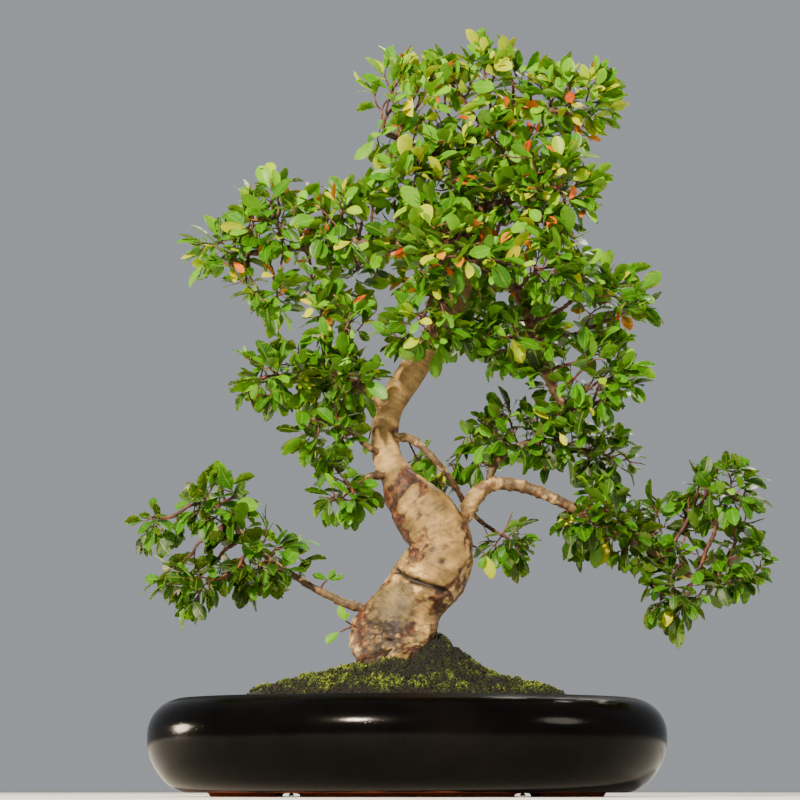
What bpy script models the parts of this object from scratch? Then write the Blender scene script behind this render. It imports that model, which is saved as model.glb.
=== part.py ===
"""A small-leaved elm grown as a bonsai, in an oval glazed pot.

The frame has +Z up and +X to the right of the tree's front, which faces -Y. The origin is
the centre of the pot's underside, on the surface that the pot stands on. Tables are in
millimetres and turned to metres by MM. Each wooden stem is a row of stations
(x, y, z, radius), and each foliage pad is a centre with three half sizes.
"""

import math

import bmesh
import bpy
from mathutils import Vector, noise

MM = 0.001

# Pot: an oval bowl whose wall bulges out and turns in again to the rim.
POT_HALF_LENGTH = 140.0
POT_HALF_DEPTH = 106.0
POT_SEGMENTS = 44
# (inset from the widest oval, height), from the underside round the rim to the inner floor.
FOOT_HEIGHT = 2.0
FLOOR_TOP = 9.0
POT_OUTSIDE = [
    (34.0, 0.0), (33.4, FOOT_HEIGHT), (19.6, FOOT_HEIGHT + 0.3), (11.8, 6.4), (5.8, 13.0), (1.8, 21.0),
    (0.2, 30.0), (0.6, 37.0), (3.4, 43.6), (8.0, 48.4), (14.0, 51.3), (19.0, 52.2),
]
POT_INSIDE = [
    (22.2, 51.4), (23.4, 48.8), (18.0, 44.2), (12.0, 38.6), (8.6, 31.0), (9.4, 23.0),
    (14.0, 15.6), (21.0, 11.0), (30.0, FLOOR_TOP),
]
DRAIN_X = 62.0
DRAIN_RADIUS = 9.0
DRAIN_SIDES = 20
GROOVE_WIDTH = 14.0
POT_CREASE_DEGREES = 40.0

# Drainage screen and its wire clip, one over each drain hole.
SCREEN_SIDE = 36.0
SCREEN_THICKNESS = 1.0
SCREEN_HOLES = 5
SCREEN_PITCH = 6.0
SCREEN_HOLE = 3.6
WIRE_RADIUS = 0.6
WIRE_SIDES_RESOLUTION = 2
CLIP_FOOT_REACH = 21.0
CLIP_BEND = 1.0
CLIP_BEND_MIDDLE = 0.3  # how far a bend's middle point lies from its corner, along both sides

# Clearance between neighbouring solids, which is larger between the two curved faces of moss and soil.
GAP = 0.4
WALL_GAP = 0.8
MOSS_LIFT = 0.8
CUT_EXTRA = 5.0
WELD_DISTANCE = 0.01

# Filling of the pot.
GRAVEL_TOP = 14.5
SOIL_LEVEL = 47.0
SOIL_WALL_LEVEL = 44.0
WALL_RING_SPACING = 1.0
MOSS_HALF_LENGTH = 100.0
MOSS_HALF_DEPTH = 68.0
MOSS_THICKNESS = 4.0
MOSS_EDGE_THICKNESS = 1.4
MOUND_PEAK = (12.0, 4.0, 21.0, 20.0, 22.0)  # x, y, height, spread along x, spread along y
MOUND_SHOULDER = (-6.0, 0.0, 20.0, 66.0, 38.0)
MOUND_SEGMENTS = 28
MOUND_RINGS = 7
MOUND_HEART = 0.04  # size of the mound's innermost ring, as a share of its outline

# Trunk, from inside the soil to the tip of its leader.
TRUNK = [
    (-2, 1, 50, 13.0), (-3, 1, 58, 14.5), (-4, 0, 66, 17.0), (-6, 0, 75, 20.5), (-6, 0, 84, 22.5),
    (-4, 0, 93, 21.5), (3, -2, 104, 18.6), (12, -4, 114, 16.4), (18, -5, 122, 15.8),
    (20, -6, 132, 16.8), (15, -6, 144, 17.2), (7, -5, 155, 15.4), (0, -3, 164, 11.9),
    (-5, -1, 172, 9.0), (-10, 1, 180, 7.8), (-12, 3, 190, 7.4), (-12, 4, 200, 7.1),
    (-10, 5, 210, 7.4), (-4, 5, 221, 7.7), (2, 5, 230, 8.0), (7, 4, 238, 8.0), (14, 3, 248, 7.4),
    (22, 2, 260, 6.9), (28, 1, 273, 6.3), (33, 0, 288, 5.8), (35, 0, 304, 5.3), (34, 0, 321, 4.7),
    (31, 0, 338, 4.2), (29, 1, 350, 3.8), (33, 3, 360, 3.3), (42, 4, 369, 3.0), (54, 4, 374, 2.6),
    (70, 2, 378, 2.2), (86, 0, 378, 1.8), (98, 0, 375, 1.4),
]
TRUNK_SIDES_RESOLUTION = 4
STEPS_BETWEEN_STATIONS = 2
STEM_CREASE_DEGREES = 60.0

# Main roots, spreading under the moss from the root crown.
ROOTS = [
    [(-6, 0, 66, 8.0), (-20, -8, 59, 6.0), (-36, -14, 49, 4.6), (-52, -18, 41, 3.4), (-68, -20, 34, 2.2)],
    [(-2, -4, 72, 8.0), (0, -22, 62, 6.2), (4, -34, 50, 4.6), (10, -44, 40, 3.2), (16, -52, 32, 2.0)],
    [(-2, 0, 72, 8.0), (16, -4, 63, 6.6), (30, -8, 54, 5.0), (46, -10, 44, 3.6), (62, -8, 36, 2.2)],
    [(-2, 4, 72, 8.0), (12, 20, 60, 6.0), (24, 32, 48, 4.4), (34, 42, 38, 3.0), (42, 50, 30, 2.0)],
    [(-6, 4, 66, 8.0), (-18, 18, 56, 5.6), (-32, 30, 44, 4.2), (-42, 38, 36, 3.0), (-52, 46, 29, 2.0)],
]

# Branches: name, the stem it grows from, stations. The first station lies inside the parent.
BRANCHES = [
    ("branch_lower_left", "trunk", [
        (-12, 0, 100, 3.4), (-27, 0, 101, 3.0), (-36, 0, 105, 2.5), (-46, 0, 110, 2.2),
        (-56, 0, 116, 2.0),
        (-69, 2, 123, 1.8), (-81, 2, 133, 1.6), (-92, 2, 144, 1.4), (-101, 2, 154, 1.2),
        (-112, 0, 160, 1.0)]),
    ("branch_right", "trunk", [
        (22, -4, 143, 5.2), (31, -4, 152, 5.0), (35, -3, 159, 4.7), (40, -2, 165, 4.4),
        (47, -2, 168, 4.0),
        (56, -3, 168, 3.7), (66, -4, 165, 3.5), (80, -6, 160, 3.1), (95, -6, 152, 2.8),
        (109, -5, 144, 2.6),
        (124, -4, 135, 2.4), (140, -3, 126, 2.1), (155, -2, 118, 1.7), (168, -2, 113, 1.2)]),
    ("branch_centre_right", "branch_right", [
        (46, -2, 168, 2.4), (46, 1, 175, 2.4), (49, 4, 182, 2.3), (58, 6, 189, 2.0), (72, 7, 194, 1.7),
        (88, 9, 192, 1.4), (100, 11, 188, 1.0)]),
    ("branch_drooping", "trunk", [
        (-12, 2, 192, 2.8), (-2, -4, 194, 2.6), (6, -8, 190, 2.3), (14, -10, 183, 2.1),
        (21, -8, 174, 1.9),
        (27, -1, 166, 1.8), (33, 9, 157, 1.6), (41, 16, 149, 1.4), (52, 21, 143, 1.1)]),
    ("branch_left_thin", "trunk", [
        (-11, 1, 184, 2.2), (-21, -8, 188, 1.9), (-28, -12, 195, 1.6), (-36, -14, 200, 1.5),
        (-46, -13, 201, 1.3), (-54, -11, 204, 1.0)]),
    ("branch_left_low", "trunk", [
        (-6, -1, 173, 2.4), (-16, -7, 173, 2.2), (-24, -11, 170, 2.0), (-31, -12, 165, 1.7),
        (-36, -12, 158, 1.3)]),
    ("branch_left_middle", "trunk", [
        (-10, 5, 211, 3.4), (-20, -3, 218, 3.0), (-31, -9, 225, 2.5), (-44, -12, 229, 2.2),
        (-58, -10, 228, 1.8),
        (-72, -8, 227, 1.3)]),
    ("branch_left_back", "trunk", [
        (-11, 5, 206, 2.8), (-18, 15, 212, 2.4), (-26, 26, 219, 2.0), (-36, 35, 225, 1.5)]),
    ("branch_shoulder", "trunk", [
        (33, 0, 288, 4.4), (18, -4, 295, 4.4), (5, -6, 298, 4.1), (-10, -6, 300, 3.7),
        (-26, -5, 301, 3.3),
        (-42, -3, 301, 2.9), (-59, -1, 300, 2.5), (-76, 0, 298, 2.0), (-89, 0, 297, 1.6),
        (-102, -2, 297, 1.1)]),
    ("branch_right_hanging", "trunk", [
        (34, 0, 293, 4.2), (47, 2, 289, 4.0), (58, 2, 280, 3.8), (66, 2, 266, 3.6), (71, 0, 248, 3.4),
        (76, -2, 233, 3.2), (81, -2, 220, 2.8), (88, 0, 210, 2.2), (96, -1, 204, 1.4)]),
    ("branch_top_left", "trunk", [
        (30, 0, 342, 2.8), (22, -2, 349, 2.9), (13, -4, 353, 2.7), (3, -6, 356, 2.4), (-6, -8, 361, 2.0),
        (-15, -8, 364, 1.5)]),
    ("branch_crown_front", "trunk", [
        (35, 0, 306, 3.2), (30, -12, 307, 3.0), (24, -22, 302, 2.7), (20, -32, 294, 2.3),
        (17, -38, 284, 1.8),
        (14, -40, 272, 1.4)]),
    ("branch_crown_right", "trunk", [
        (34, 0, 320, 3.0), (46, -6, 322, 2.7), (58, -12, 325, 2.4), (70, -17, 328, 2.0),
        (82, -20, 331, 1.4)]),
    ("branch_crown_back", "trunk", [
        (29, 1, 276, 3.4), (32, 16, 282, 3.0), (38, 30, 290, 2.6), (44, 42, 299, 2.2),
        (50, 50, 310, 1.6)]),
]
BRANCH_SIDES_RESOLUTION = 2

# Foliage pads: name, centre, half sizes. A pad is the outer shape of one cluster of leaves.
PADS = [
    ("crown_top_left", (2, -8, 386), (28, 26, 24)),
    ("crown_top_centre", (48, 8, 402), (24, 26, 20)),
    ("crown_top_right", (94, 0, 384), (27, 28, 23)),
    ("crown_upper_left", (6, -20, 333), (28, 26, 20)),
    ("crown_upper_right", (78, -18, 331), (31, 32, 25)),
    ("crown_front", (22, -46, 288), (30, 24, 22)),
    ("crown_right", (76, -40, 283), (24, 24, 19)),
    ("crown_low_front", (8, -40, 248), (26, 24, 16)),
    ("crown_low_right", (50, -14, 247), (20, 22, 18)),
    ("crown_back_high", (60, 44, 346), (36, 26, 26)),
    ("crown_back", (24, 48, 297), (34, 26, 23)),
    ("crown_back_low", (66, 44, 258), (28, 24, 20)),
    ("shoulder_inner", (-36, -6, 320), (21, 26, 18)),
    ("shoulder_back", (-38, 32, 286), (28, 22, 18)),
    ("shoulder_outer", (-76, 4, 322), (22, 27, 22)),
    ("shoulder_tip", (-108, -4, 297), (16, 22, 14)),
    ("shoulder_hanging", (-74, 2, 271), (15, 20, 17)),
    ("right_shoulder", (114, 6, 271), (23, 28, 21)),
    ("right_shoulder_low", (104, -8, 226), (25, 28, 20)),
    ("left_middle_top", (-38, -18, 257), (21, 20, 14)),
    ("left_middle_tip", (-74, -10, 226), (22, 24, 17)),
    ("left_middle_inner", (-30, -24, 223), (19, 20, 16)),
    ("left_middle_back", (-42, 34, 228), (26, 20, 22)),
    ("left_middle_low", (-46, -12, 193), (19, 22, 13)),
    ("left_middle_drop", (-35, -13, 162), (18, 21, 15)),
    ("centre_right", (60, 10, 198), (30, 24, 16)),
    ("outer_centre_right", (110, 16, 186), (19, 22, 17)),
    ("right_inner", (100, -12, 147), (24, 28, 19)),
    ("right_middle", (138, 18, 147), (20, 24, 19)),
    ("right_outer", (172, -8, 164), (23, 26, 18)),
    ("right_tip", (180, -2, 125), (22, 26, 18)),
    ("right_drop", (143, -8, 106), (19, 22, 16)),
    ("under_branch", (56, 20, 138), (18, 20, 14)),
    ("lower_left_top", (-103, 8, 160), (21, 24, 17)),
    ("lower_left_tip", (-134, -6, 147), (16, 22, 14)),
    ("lower_left_low", (-118, -8, 115), (20, 24, 17)),
    ("lower_left_inner", (-75, 2, 127), (22, 25, 19)),
]
PAD_SEGMENTS = 12
PAD_RINGS = 8
PAD_LUMPINESS = 0.06
PAD_LUMPS_ACROSS = 1.6
PAD_LUMPS_SHIFT = 3.1
PAD_CHANNEL_MARGIN = 2.0
PAD_SHRINK_STEP = 0.98
PAD_CLEARANCE = 0.8
PAD_PROBES_ROUND = 24
PAD_PROBES_UP = 12

BARK = ("elm_bark", (0.46, 0.34, 0.22), 0.8, 0.0)
LEAF = ("elm_leaf", (0.10, 0.28, 0.03), 0.45, 0.0)
GLAZE = ("black_glaze", (0.012, 0.012, 0.014), 0.18, 0.0)
MOSS = ("moss", (0.16, 0.20, 0.03), 0.95, 0.0)
SOIL = ("potting_soil", (0.09, 0.06, 0.04), 0.95, 0.0)
GRAVEL = ("pumice_gravel", (0.52, 0.46, 0.38), 0.9, 0.0)
SCREEN = ("screen_plastic", (0.05, 0.09, 0.05), 0.6, 0.0)
WIRE = ("aluminium_wire", (0.55, 0.50, 0.45), 0.4, 1.0)


def clear_scene():
    """Removes every object of the open scene."""
    for obj in list(bpy.data.objects):
        bpy.data.objects.remove(obj, do_unlink=True)


def new_collection(name, shown=True):
    """A collection in the scene; one of cutters isn't rendered."""
    made = bpy.data.collections.new(name)
    made.hide_render = not shown
    bpy.context.scene.collection.children.link(made)
    return made


def finish_of(spec):
    """The material that a (name, colour, roughness, metallic) line describes, made once."""
    name, colour, roughness, metallic = spec
    made = bpy.data.materials.get(name)
    if made is None:
        made = bpy.data.materials.new(name)
        made.use_nodes = True
        shader = made.node_tree.nodes["Principled BSDF"]
        shader.inputs["Base Color"].default_value = (*colour, 1.0)
        shader.inputs["Roughness"].default_value = roughness
        shader.inputs["Metallic"].default_value = metallic
    return made


def mesh_object(name, bm, spec, collection):
    """The bmesh as a named object with its material, its faces pointing out."""
    bmesh.ops.recalc_face_normals(bm, faces=bm.faces[:])
    mesh = bpy.data.meshes.new(name)
    bm.to_mesh(mesh)
    bm.free()
    mesh.materials.append(finish_of(spec))
    obj = bpy.data.objects.new(name, mesh)
    collection.objects.link(obj)
    return obj


def as_cutter(obj):
    """Keeps a helper out of the part and shows it as wire."""
    obj.hide_render = True
    obj.display_type = "WIRE"
    return obj


def cut(obj, cutter, operation="DIFFERENCE"):
    """Adds a Boolean modifier with the exact solver."""
    modifier = obj.modifiers.new(cutter.name, "BOOLEAN")
    modifier.operation = operation
    modifier.object = cutter
    return obj


def catmull_rom(a, b, c, d, t):
    """The curve's value at t from b to c, with a and d the neighbours on either side."""
    linear = (c - a) * t
    square = (2 * a - 5 * b + 4 * c - d) * t**2
    cube = (3 * b - a - 3 * c + d) * t**3
    return 0.5 * (2 * b + linear + square + cube)


def smooth_path(stations):
    """Stations made denser along a Catmull-Rom curve, radius included."""
    last = len(stations) - 1
    path = []
    for i in range(last):
        around = [stations[min(max(j, 0), last)] for j in (i - 1, i, i + 1, i + 2)]
        for step in range(STEPS_BETWEEN_STATIONS):
            t = step / STEPS_BETWEEN_STATIONS
            path.append(tuple(catmull_rom(*values, t) for values in zip(*around)))
    path.append(tuple(stations[-1]))
    return path


def tube(name, path, spec, collection, resolution, grow=0.0):
    """A round stem through (x, y, z, radius) points: a bevelled curve made a mesh, its caps welded."""
    curve = bpy.data.curves.new(name + "_line", "CURVE")
    curve.dimensions = "3D"
    curve.bevel_depth = MM
    curve.bevel_resolution = resolution
    curve.use_fill_caps = True
    spline = curve.splines.new("POLY")
    spline.points.add(len(path) - 1)
    for point, (x, y, z, radius) in zip(spline.points, path):
        point.co = (x * MM, y * MM, z * MM, 1.0)
        point.radius = radius + grow
    line = bpy.data.objects.new(name + "_line", curve)
    bpy.context.scene.collection.objects.link(line)
    graph = bpy.context.evaluated_depsgraph_get()
    graph.update()
    mesh = bpy.data.meshes.new_from_object(line.evaluated_get(graph))
    bm = bmesh.new()
    bm.from_mesh(mesh)
    bmesh.ops.remove_doubles(bm, verts=bm.verts[:], dist=WELD_DISTANCE * MM)
    bpy.data.objects.remove(line, do_unlink=True)
    bpy.data.meshes.remove(mesh)
    obj = mesh_object(name, bm, spec, collection)
    obj.data.shade_smooth()
    obj.data.set_sharp_from_angle(angle=math.radians(STEM_CREASE_DEGREES))
    return obj


def oval(half_length, half_depth, height, segments):
    """Points of a level oval, with height a number or a function of x and y."""
    points = []
    for i in range(segments):
        angle = 2 * math.pi * i / segments
        x, y = half_length * math.cos(angle), half_depth * math.sin(angle)
        z = height(x, y) if callable(height) else height
        points.append(Vector((x, y, z)) * MM)
    return points


def loft(name, rings, spec, collection):
    """A closed solid through rings of equal counts, with a flat face on the first and last."""
    bm = bmesh.new()
    rows = [[bm.verts.new(p) for p in ring] for ring in rings]
    for low, high in zip(rows, rows[1:]):
        for i in range(len(low)):
            j = (i + 1) % len(low)
            bm.faces.new((low[i], low[j], high[j], high[i]))
    bm.faces.new(list(reversed(rows[0])))
    bm.faces.new(rows[-1])
    return mesh_object(name, bm, spec, collection)


def box(name, low, high, spec, collection):
    """A box between two corners in millimetres."""
    bm = bmesh.new()
    bmesh.ops.create_cube(bm, size=1.0)
    for v in bm.verts:
        v.co = Vector(((low[k] + high[k]) / 2 + v.co[k] * (high[k] - low[k])) * MM for k in range(3))
    return mesh_object(name, bm, spec, collection)


def drain_bar(name, x, collection):
    """The upright round bar that cuts a drain hole through the pot's floor."""
    low, high = -CUT_EXTRA, FLOOR_TOP + CUT_EXTRA
    radius = DRAIN_RADIUS * MM
    bm = bmesh.new()
    bmesh.ops.create_cone(
        bm, cap_ends=True, segments=DRAIN_SIDES, radius1=radius, radius2=radius, depth=(high - low) * MM)
    bmesh.ops.translate(bm, verts=bm.verts[:], vec=Vector((x, 0.0, (low + high) / 2)) * MM)
    return mesh_object(name, bm, GLAZE, collection)


def bump(x, y, shape):
    """A bell-shaped hill's height at x, y."""
    cx, cy, height, spread_x, spread_y = shape
    return height * math.exp(-((x - cx) ** 2) / (2 * spread_x**2) - (y - cy) ** 2 / (2 * spread_y**2))


def moss_top(x, y):
    """Height of the planted mound's surface."""
    return SOIL_LEVEL + bump(x, y, MOUND_PEAK) + bump(x, y, MOUND_SHOULDER)


def moss_depth(x, y):
    """Thickness of the moss, which thins towards its edge."""
    reach = min(1.0, math.hypot(x / MOSS_HALF_LENGTH, y / MOSS_HALF_DEPTH))
    return MOSS_THICKNESS - (MOSS_THICKNESS - MOSS_EDGE_THICKNESS) * reach**3


def soil_top(x, y):
    """Height of the soil, which lies under the moss."""
    return moss_top(x, y) - moss_depth(x, y) - MOSS_LIFT


def mound_rings(height):
    """Rings of the mound, from its edge to near its centre."""
    shares = [1.0 - (1.0 - MOUND_HEART) * k / MOUND_RINGS for k in range(MOUND_RINGS + 1)]
    return [oval(MOSS_HALF_LENGTH * s, MOSS_HALF_DEPTH * s, height, MOUND_SEGMENTS) for s in shares]


def pot_ring(inset, height, segments):
    """One level oval of the pot, inset from its widest outline."""
    return oval(POT_HALF_LENGTH - inset, POT_HALF_DEPTH - inset, height, segments)


def make_pot(part, cutters):
    """The glazed bowl on a low foot of bare clay, with two drain holes and a groove across each."""
    rings = [pot_ring(inset, height, POT_SEGMENTS) for inset, height in POT_OUTSIDE + POT_INSIDE]
    pot = loft("pot", rings, GLAZE, part)
    half = GROOVE_WIDTH / 2
    for side, x in (("left", -DRAIN_X), ("right", DRAIN_X)):
        low, high = (x - half, -POT_HALF_DEPTH, -CUT_EXTRA), (x + half, POT_HALF_DEPTH, FOOT_HEIGHT)
        cut(pot, as_cutter(box(f"groove_{side}", low, high, GLAZE, cutters)))
        cut(pot, as_cutter(drain_bar(f"drain_{side}", x, cutters)))
    pot.data.shade_smooth()
    pot.data.set_sharp_from_angle(angle=math.radians(POT_CREASE_DEGREES))
    return pot


def make_screen(side, x, part, cutters):
    """A square of plastic mesh over one drain hole, which keeps the gravel in."""
    under = FLOOR_TOP + GAP
    half = SCREEN_SIDE / 2
    low, high = (x - half, -half, under), (x + half, half, under + SCREEN_THICKNESS)
    screen = box(f"drain_screen_{side}", low, high, SCREEN, part)
    bm = bmesh.new()
    middle = (SCREEN_HOLES - 1) / 2
    for i in range(SCREEN_HOLES):
        for j in range(SCREEN_HOLES):
            corners = bmesh.ops.create_cube(bm, size=SCREEN_HOLE * MM)["verts"]
            place = Vector((x + (i - middle) * SCREEN_PITCH, (j - middle) * SCREEN_PITCH, under)) * MM
            bmesh.ops.translate(bm, verts=corners, vec=place)
    cut(screen, as_cutter(mesh_object(f"screen_holes_{side}", bm, SCREEN, cutters)))
    return screen


def make_clip(side, x, part):
    """A wire over the screen, down through the drain hole, its ends bent out under the pot."""
    over = FLOOR_TOP + GAP + SCREEN_THICKNESS + GAP + WIRE_RADIUS
    under = FOOT_HEIGHT - GAP - WIRE_RADIUS
    leg, bend, near = SCREEN_PITCH, CLIP_BEND, CLIP_BEND_MIDDLE
    right_half = [
        (leg - bend, over), (leg - near, over - near), (leg, over - bend), (leg, (over + under) / 2),
        (leg, under + bend), (leg + near, under + near), (leg + bend, under), (CLIP_FOOT_REACH, under),
    ]
    line = [(-y, z) for y, z in reversed(right_half)] + right_half
    path = [(x, y, z, WIRE_RADIUS) for y, z in line]
    return tube(f"screen_clip_{side}", path, WIRE, part, WIRE_SIDES_RESOLUTION)


def inner_rings(low, high, segments):
    """Ovals of the pot's inner wall between two heights, a gap away from it, lowest first."""
    wall = sorted((z, inset) for inset, z in POT_INSIDE[1:])

    def inset_at(z):
        """The inner wall's inset at a height, by straight interpolation."""
        for (z0, i0), (z1, i1) in zip(wall, wall[1:]):
            if z <= z1:
                return i0 + (i1 - i0) * max(0.0, z - z0) / (z1 - z0)
        return wall[-1][1]

    space = WALL_RING_SPACING
    heights = [low] + [z for z, _ in wall if low + space < z < high - space] + [high]
    return [pot_ring(inset_at(z) + WALL_GAP, z, segments) for z in heights]


def make_gravel(part, cutters):
    """The coarse drainage layer on the pot's floor, clear of the screens."""
    rings = inner_rings(FLOOR_TOP + GAP, GRAVEL_TOP, MOUND_SEGMENTS)
    gravel = loft("drainage_gravel", rings, GRAVEL, part)
    half = SCREEN_SIDE / 2 + GAP
    top = FLOOR_TOP + SCREEN_THICKNESS + 3 * GAP + 2 * WIRE_RADIUS
    for side, x in (("left", -DRAIN_X), ("right", DRAIN_X)):
        low, high = (x - half, -half, FLOOR_TOP - CUT_EXTRA), (x + half, half, top)
        cut(gravel, as_cutter(box(f"pocket_{side}", low, high, GRAVEL, cutters)))
    return gravel


def make_soil(part, trunk_room):
    """The potting soil: it fills the pot and rises to a mound round the root crown."""
    walls = inner_rings(GRAVEL_TOP + GAP, SOIL_WALL_LEVEL, MOUND_SEGMENTS)
    soil = loft("soil", walls + mound_rings(soil_top), SOIL, part)
    return cut(soil, trunk_room)


def make_moss(part, trunk_room):
    """The moss: a skin over the mound, with the trunk coming up through it."""
    under = mound_rings(lambda x, y: moss_top(x, y) - moss_depth(x, y))
    over = mound_rings(moss_top)
    moss = loft("moss", list(reversed(under)) + over, MOSS, part)
    moss.data.shade_smooth()
    return cut(moss, trunk_room)


def make_trunk(part, cutters):
    """The trunk with its buried roots joined on. Returns the same shape grown by the gap, as a cutter."""
    path = smooth_path(TRUNK)
    trunk = tube("trunk", path, BARK, part, TRUNK_SIDES_RESOLUTION)
    room = as_cutter(tube("trunk_room", path, BARK, cutters, TRUNK_SIDES_RESOLUTION, grow=GAP))
    for i, stations in enumerate(ROOTS):
        line = smooth_path(stations)
        for stem, name, grow in ((trunk, f"root_{i}", 0.0), (room, f"root_room_{i}", GAP)):
            root = tube(name, line, BARK, cutters, BRANCH_SIDES_RESOLUTION, grow)
            cut(stem, as_cutter(root), "UNION")
    return room


def make_branches(part, cutters, trunk_room):
    """Every branch, cut at its start to seat against its parent. Returns the rooms by name."""
    rooms = {"trunk": (smooth_path(TRUNK), trunk_room)}
    for name, parent, stations in BRANCHES:
        path = smooth_path(stations)
        branch = tube(name, path, BARK, part, BRANCH_SIDES_RESOLUTION)
        cut(branch, rooms[parent][1])
        room = tube(name + "_room", path, BARK, cutters, BRANCH_SIDES_RESOLUTION, grow=GAP)
        rooms[name] = (path, as_cutter(room))
    return rooms


def pads_apart(pads):
    """The pads, made smaller a little at a time until no two come within the clearance."""
    sizes = [Vector(size) for _, _, size in pads]
    centres = [Vector(centre) for _, centre, _ in pads]
    directions = [
        Vector((math.cos(a) * math.cos(e), math.sin(a) * math.cos(e), math.sin(e)))
        for a in (2 * math.pi * i / PAD_PROBES_ROUND for i in range(PAD_PROBES_ROUND))
        for e in (math.pi * (j / PAD_PROBES_UP - 0.5) for j in range(PAD_PROBES_UP + 1))
    ]
    swell = 1.0 + PAD_LUMPINESS

    def inside(i, j):
        """Whether any point of pad i's surface lies in pad j, grown by the clearance."""
        grown = [s * swell + PAD_CLEARANCE for s in sizes[j]]
        for d in directions:
            p = centres[i] + Vector(d[k] * sizes[i][k] * swell for k in range(3)) - centres[j]
            if sum((p[k] / grown[k]) ** 2 for k in range(3)) < 1.0:
                return True
        return False

    for i in range(len(pads)):
        for j in range(i + 1, len(pads)):
            while inside(i, j) or inside(j, i):
                sizes[i] *= PAD_SHRINK_STEP
                sizes[j] *= PAD_SHRINK_STEP
    return [(name, centre, tuple(size)) for (name, _, _), centre, size in zip(pads, centres, sizes)]


def make_pad(name, centre, size, index, rooms, part):
    """One cluster's outer shape: a lumpy ball with a channel for each stem that runs into it."""
    bm = bmesh.new()
    bmesh.ops.create_uvsphere(bm, u_segments=PAD_SEGMENTS, v_segments=PAD_RINGS, radius=1.0)
    for v in bm.verts:
        direction = v.co.normalized()
        place = direction * PAD_LUMPS_ACROSS + Vector((index * PAD_LUMPS_SHIFT, 0.0, 0.0))
        lump = 1.0 + PAD_LUMPINESS * noise.noise(place)
        v.co = Vector((centre[k] + direction[k] * size[k] * lump) * MM for k in range(3))
    pad = mesh_object(f"foliage_{name}", bm, LEAF, part)
    pad.data.shade_smooth()

    def meets(station):
        """Whether a stem's station lies in the pad, or within its own radius and the margin of it."""
        reach = [half + station[3] + PAD_CHANNEL_MARGIN for half in size]
        return sum(((station[k] - centre[k]) / reach[k]) ** 2 for k in range(3)) < 1.0

    for path, room in rooms.values():
        if any(meets(station) for station in path):
            cut(pad, room)
    return pad


def main():
    """Builds the pot, its filling, the wood and the foliage."""
    clear_scene()
    part = new_collection("bonsai_elm")
    cutters = new_collection("cutters", shown=False)
    make_pot(part, cutters)
    for side, x in (("left", -DRAIN_X), ("right", DRAIN_X)):
        make_screen(side, x, part, cutters)
        make_clip(side, x, part)
    make_gravel(part, cutters)
    trunk_room = make_trunk(part, cutters)
    make_soil(part, trunk_room)
    make_moss(part, trunk_room)
    rooms = make_branches(part, cutters, trunk_room)
    for index, (name, centre, size) in enumerate(pads_apart(PADS)):
        make_pad(name, centre, size, index, rooms, part)


main()
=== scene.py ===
"""The looks of a small-leaved elm bonsai in an oval black-glazed pot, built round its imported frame.

Every class below makes one sub-assembly. The stems are traced from the frame's own solids, and the
twigs grow from them into the frame's foliage solids, so that each leaf hangs where the design says.
Lengths in the classes are in millimetres, and the frame and all meshes are in metres.
"""

from __future__ import annotations

import itertools
import logging
import math
from dataclasses import dataclass, field
from enum import Enum
from typing import Any, Sequence

import bpy
import numpy as np
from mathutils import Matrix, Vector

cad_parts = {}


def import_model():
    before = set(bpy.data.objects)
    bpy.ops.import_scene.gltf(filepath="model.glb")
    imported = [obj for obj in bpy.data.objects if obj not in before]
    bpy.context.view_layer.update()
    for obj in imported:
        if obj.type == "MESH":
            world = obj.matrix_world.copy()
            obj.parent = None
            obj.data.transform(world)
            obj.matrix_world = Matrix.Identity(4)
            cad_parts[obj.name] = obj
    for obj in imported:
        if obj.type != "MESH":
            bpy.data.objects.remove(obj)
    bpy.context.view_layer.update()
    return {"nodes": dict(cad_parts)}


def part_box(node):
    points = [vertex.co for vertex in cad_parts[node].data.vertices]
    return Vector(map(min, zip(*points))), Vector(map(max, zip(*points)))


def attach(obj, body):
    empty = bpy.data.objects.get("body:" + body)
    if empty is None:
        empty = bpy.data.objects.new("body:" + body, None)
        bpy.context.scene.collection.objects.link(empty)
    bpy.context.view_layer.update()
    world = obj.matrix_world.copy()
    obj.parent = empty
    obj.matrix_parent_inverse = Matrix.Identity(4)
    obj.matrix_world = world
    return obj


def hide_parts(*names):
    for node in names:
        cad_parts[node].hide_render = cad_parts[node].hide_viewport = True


LOG = logging.getLogger("bonsai")
MM = 0.001
BODY = "root"
Array = np.ndarray
UP = np.array([0.0, 0.0, 1.0])
TURN = 2.0 * math.pi
PRIMES = (73856093, 19349663, 83492791)
SEED_PRIME = 2654435761
MIXER = 0x45D9F3B
WORD = 0xFFFFFFFF
NOISE_RANGE = 1.6


class Slot(Enum):
    """Material slot names for the glaze, bark, leaf, moss and soil."""

    GLAZE = "glaze"
    BARK = "bark"
    LEAF = "leaf"
    MOSS = "moss"
    SOIL = "soil"


# ---------------------------------------------------------------- numbers on arrays


def unit(vectors: Array) -> Array:
    """The vectors at length 1."""
    return vectors / np.maximum(np.linalg.norm(vectors, axis=-1, keepdims=True), 1e-12)


def ease(low: float, high: float, values: Array) -> Array:
    """0 below low, 1 above high, and the S-curve 3t^2 - 2t^3 between them."""
    t = np.clip((values - low) / (high - low), 0.0, 1.0)
    return t * t * (3.0 - 2.0 * t)


def bell(points: Array, centre: Sequence[float], spread: float) -> Array:
    """exp(-d^2 / 2 spread^2), where d is each point's distance from the centre."""
    gap = points - np.asarray(centre)
    return np.exp(-np.sum(gap * gap, axis=-1) / (2.0 * spread * spread))


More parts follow.
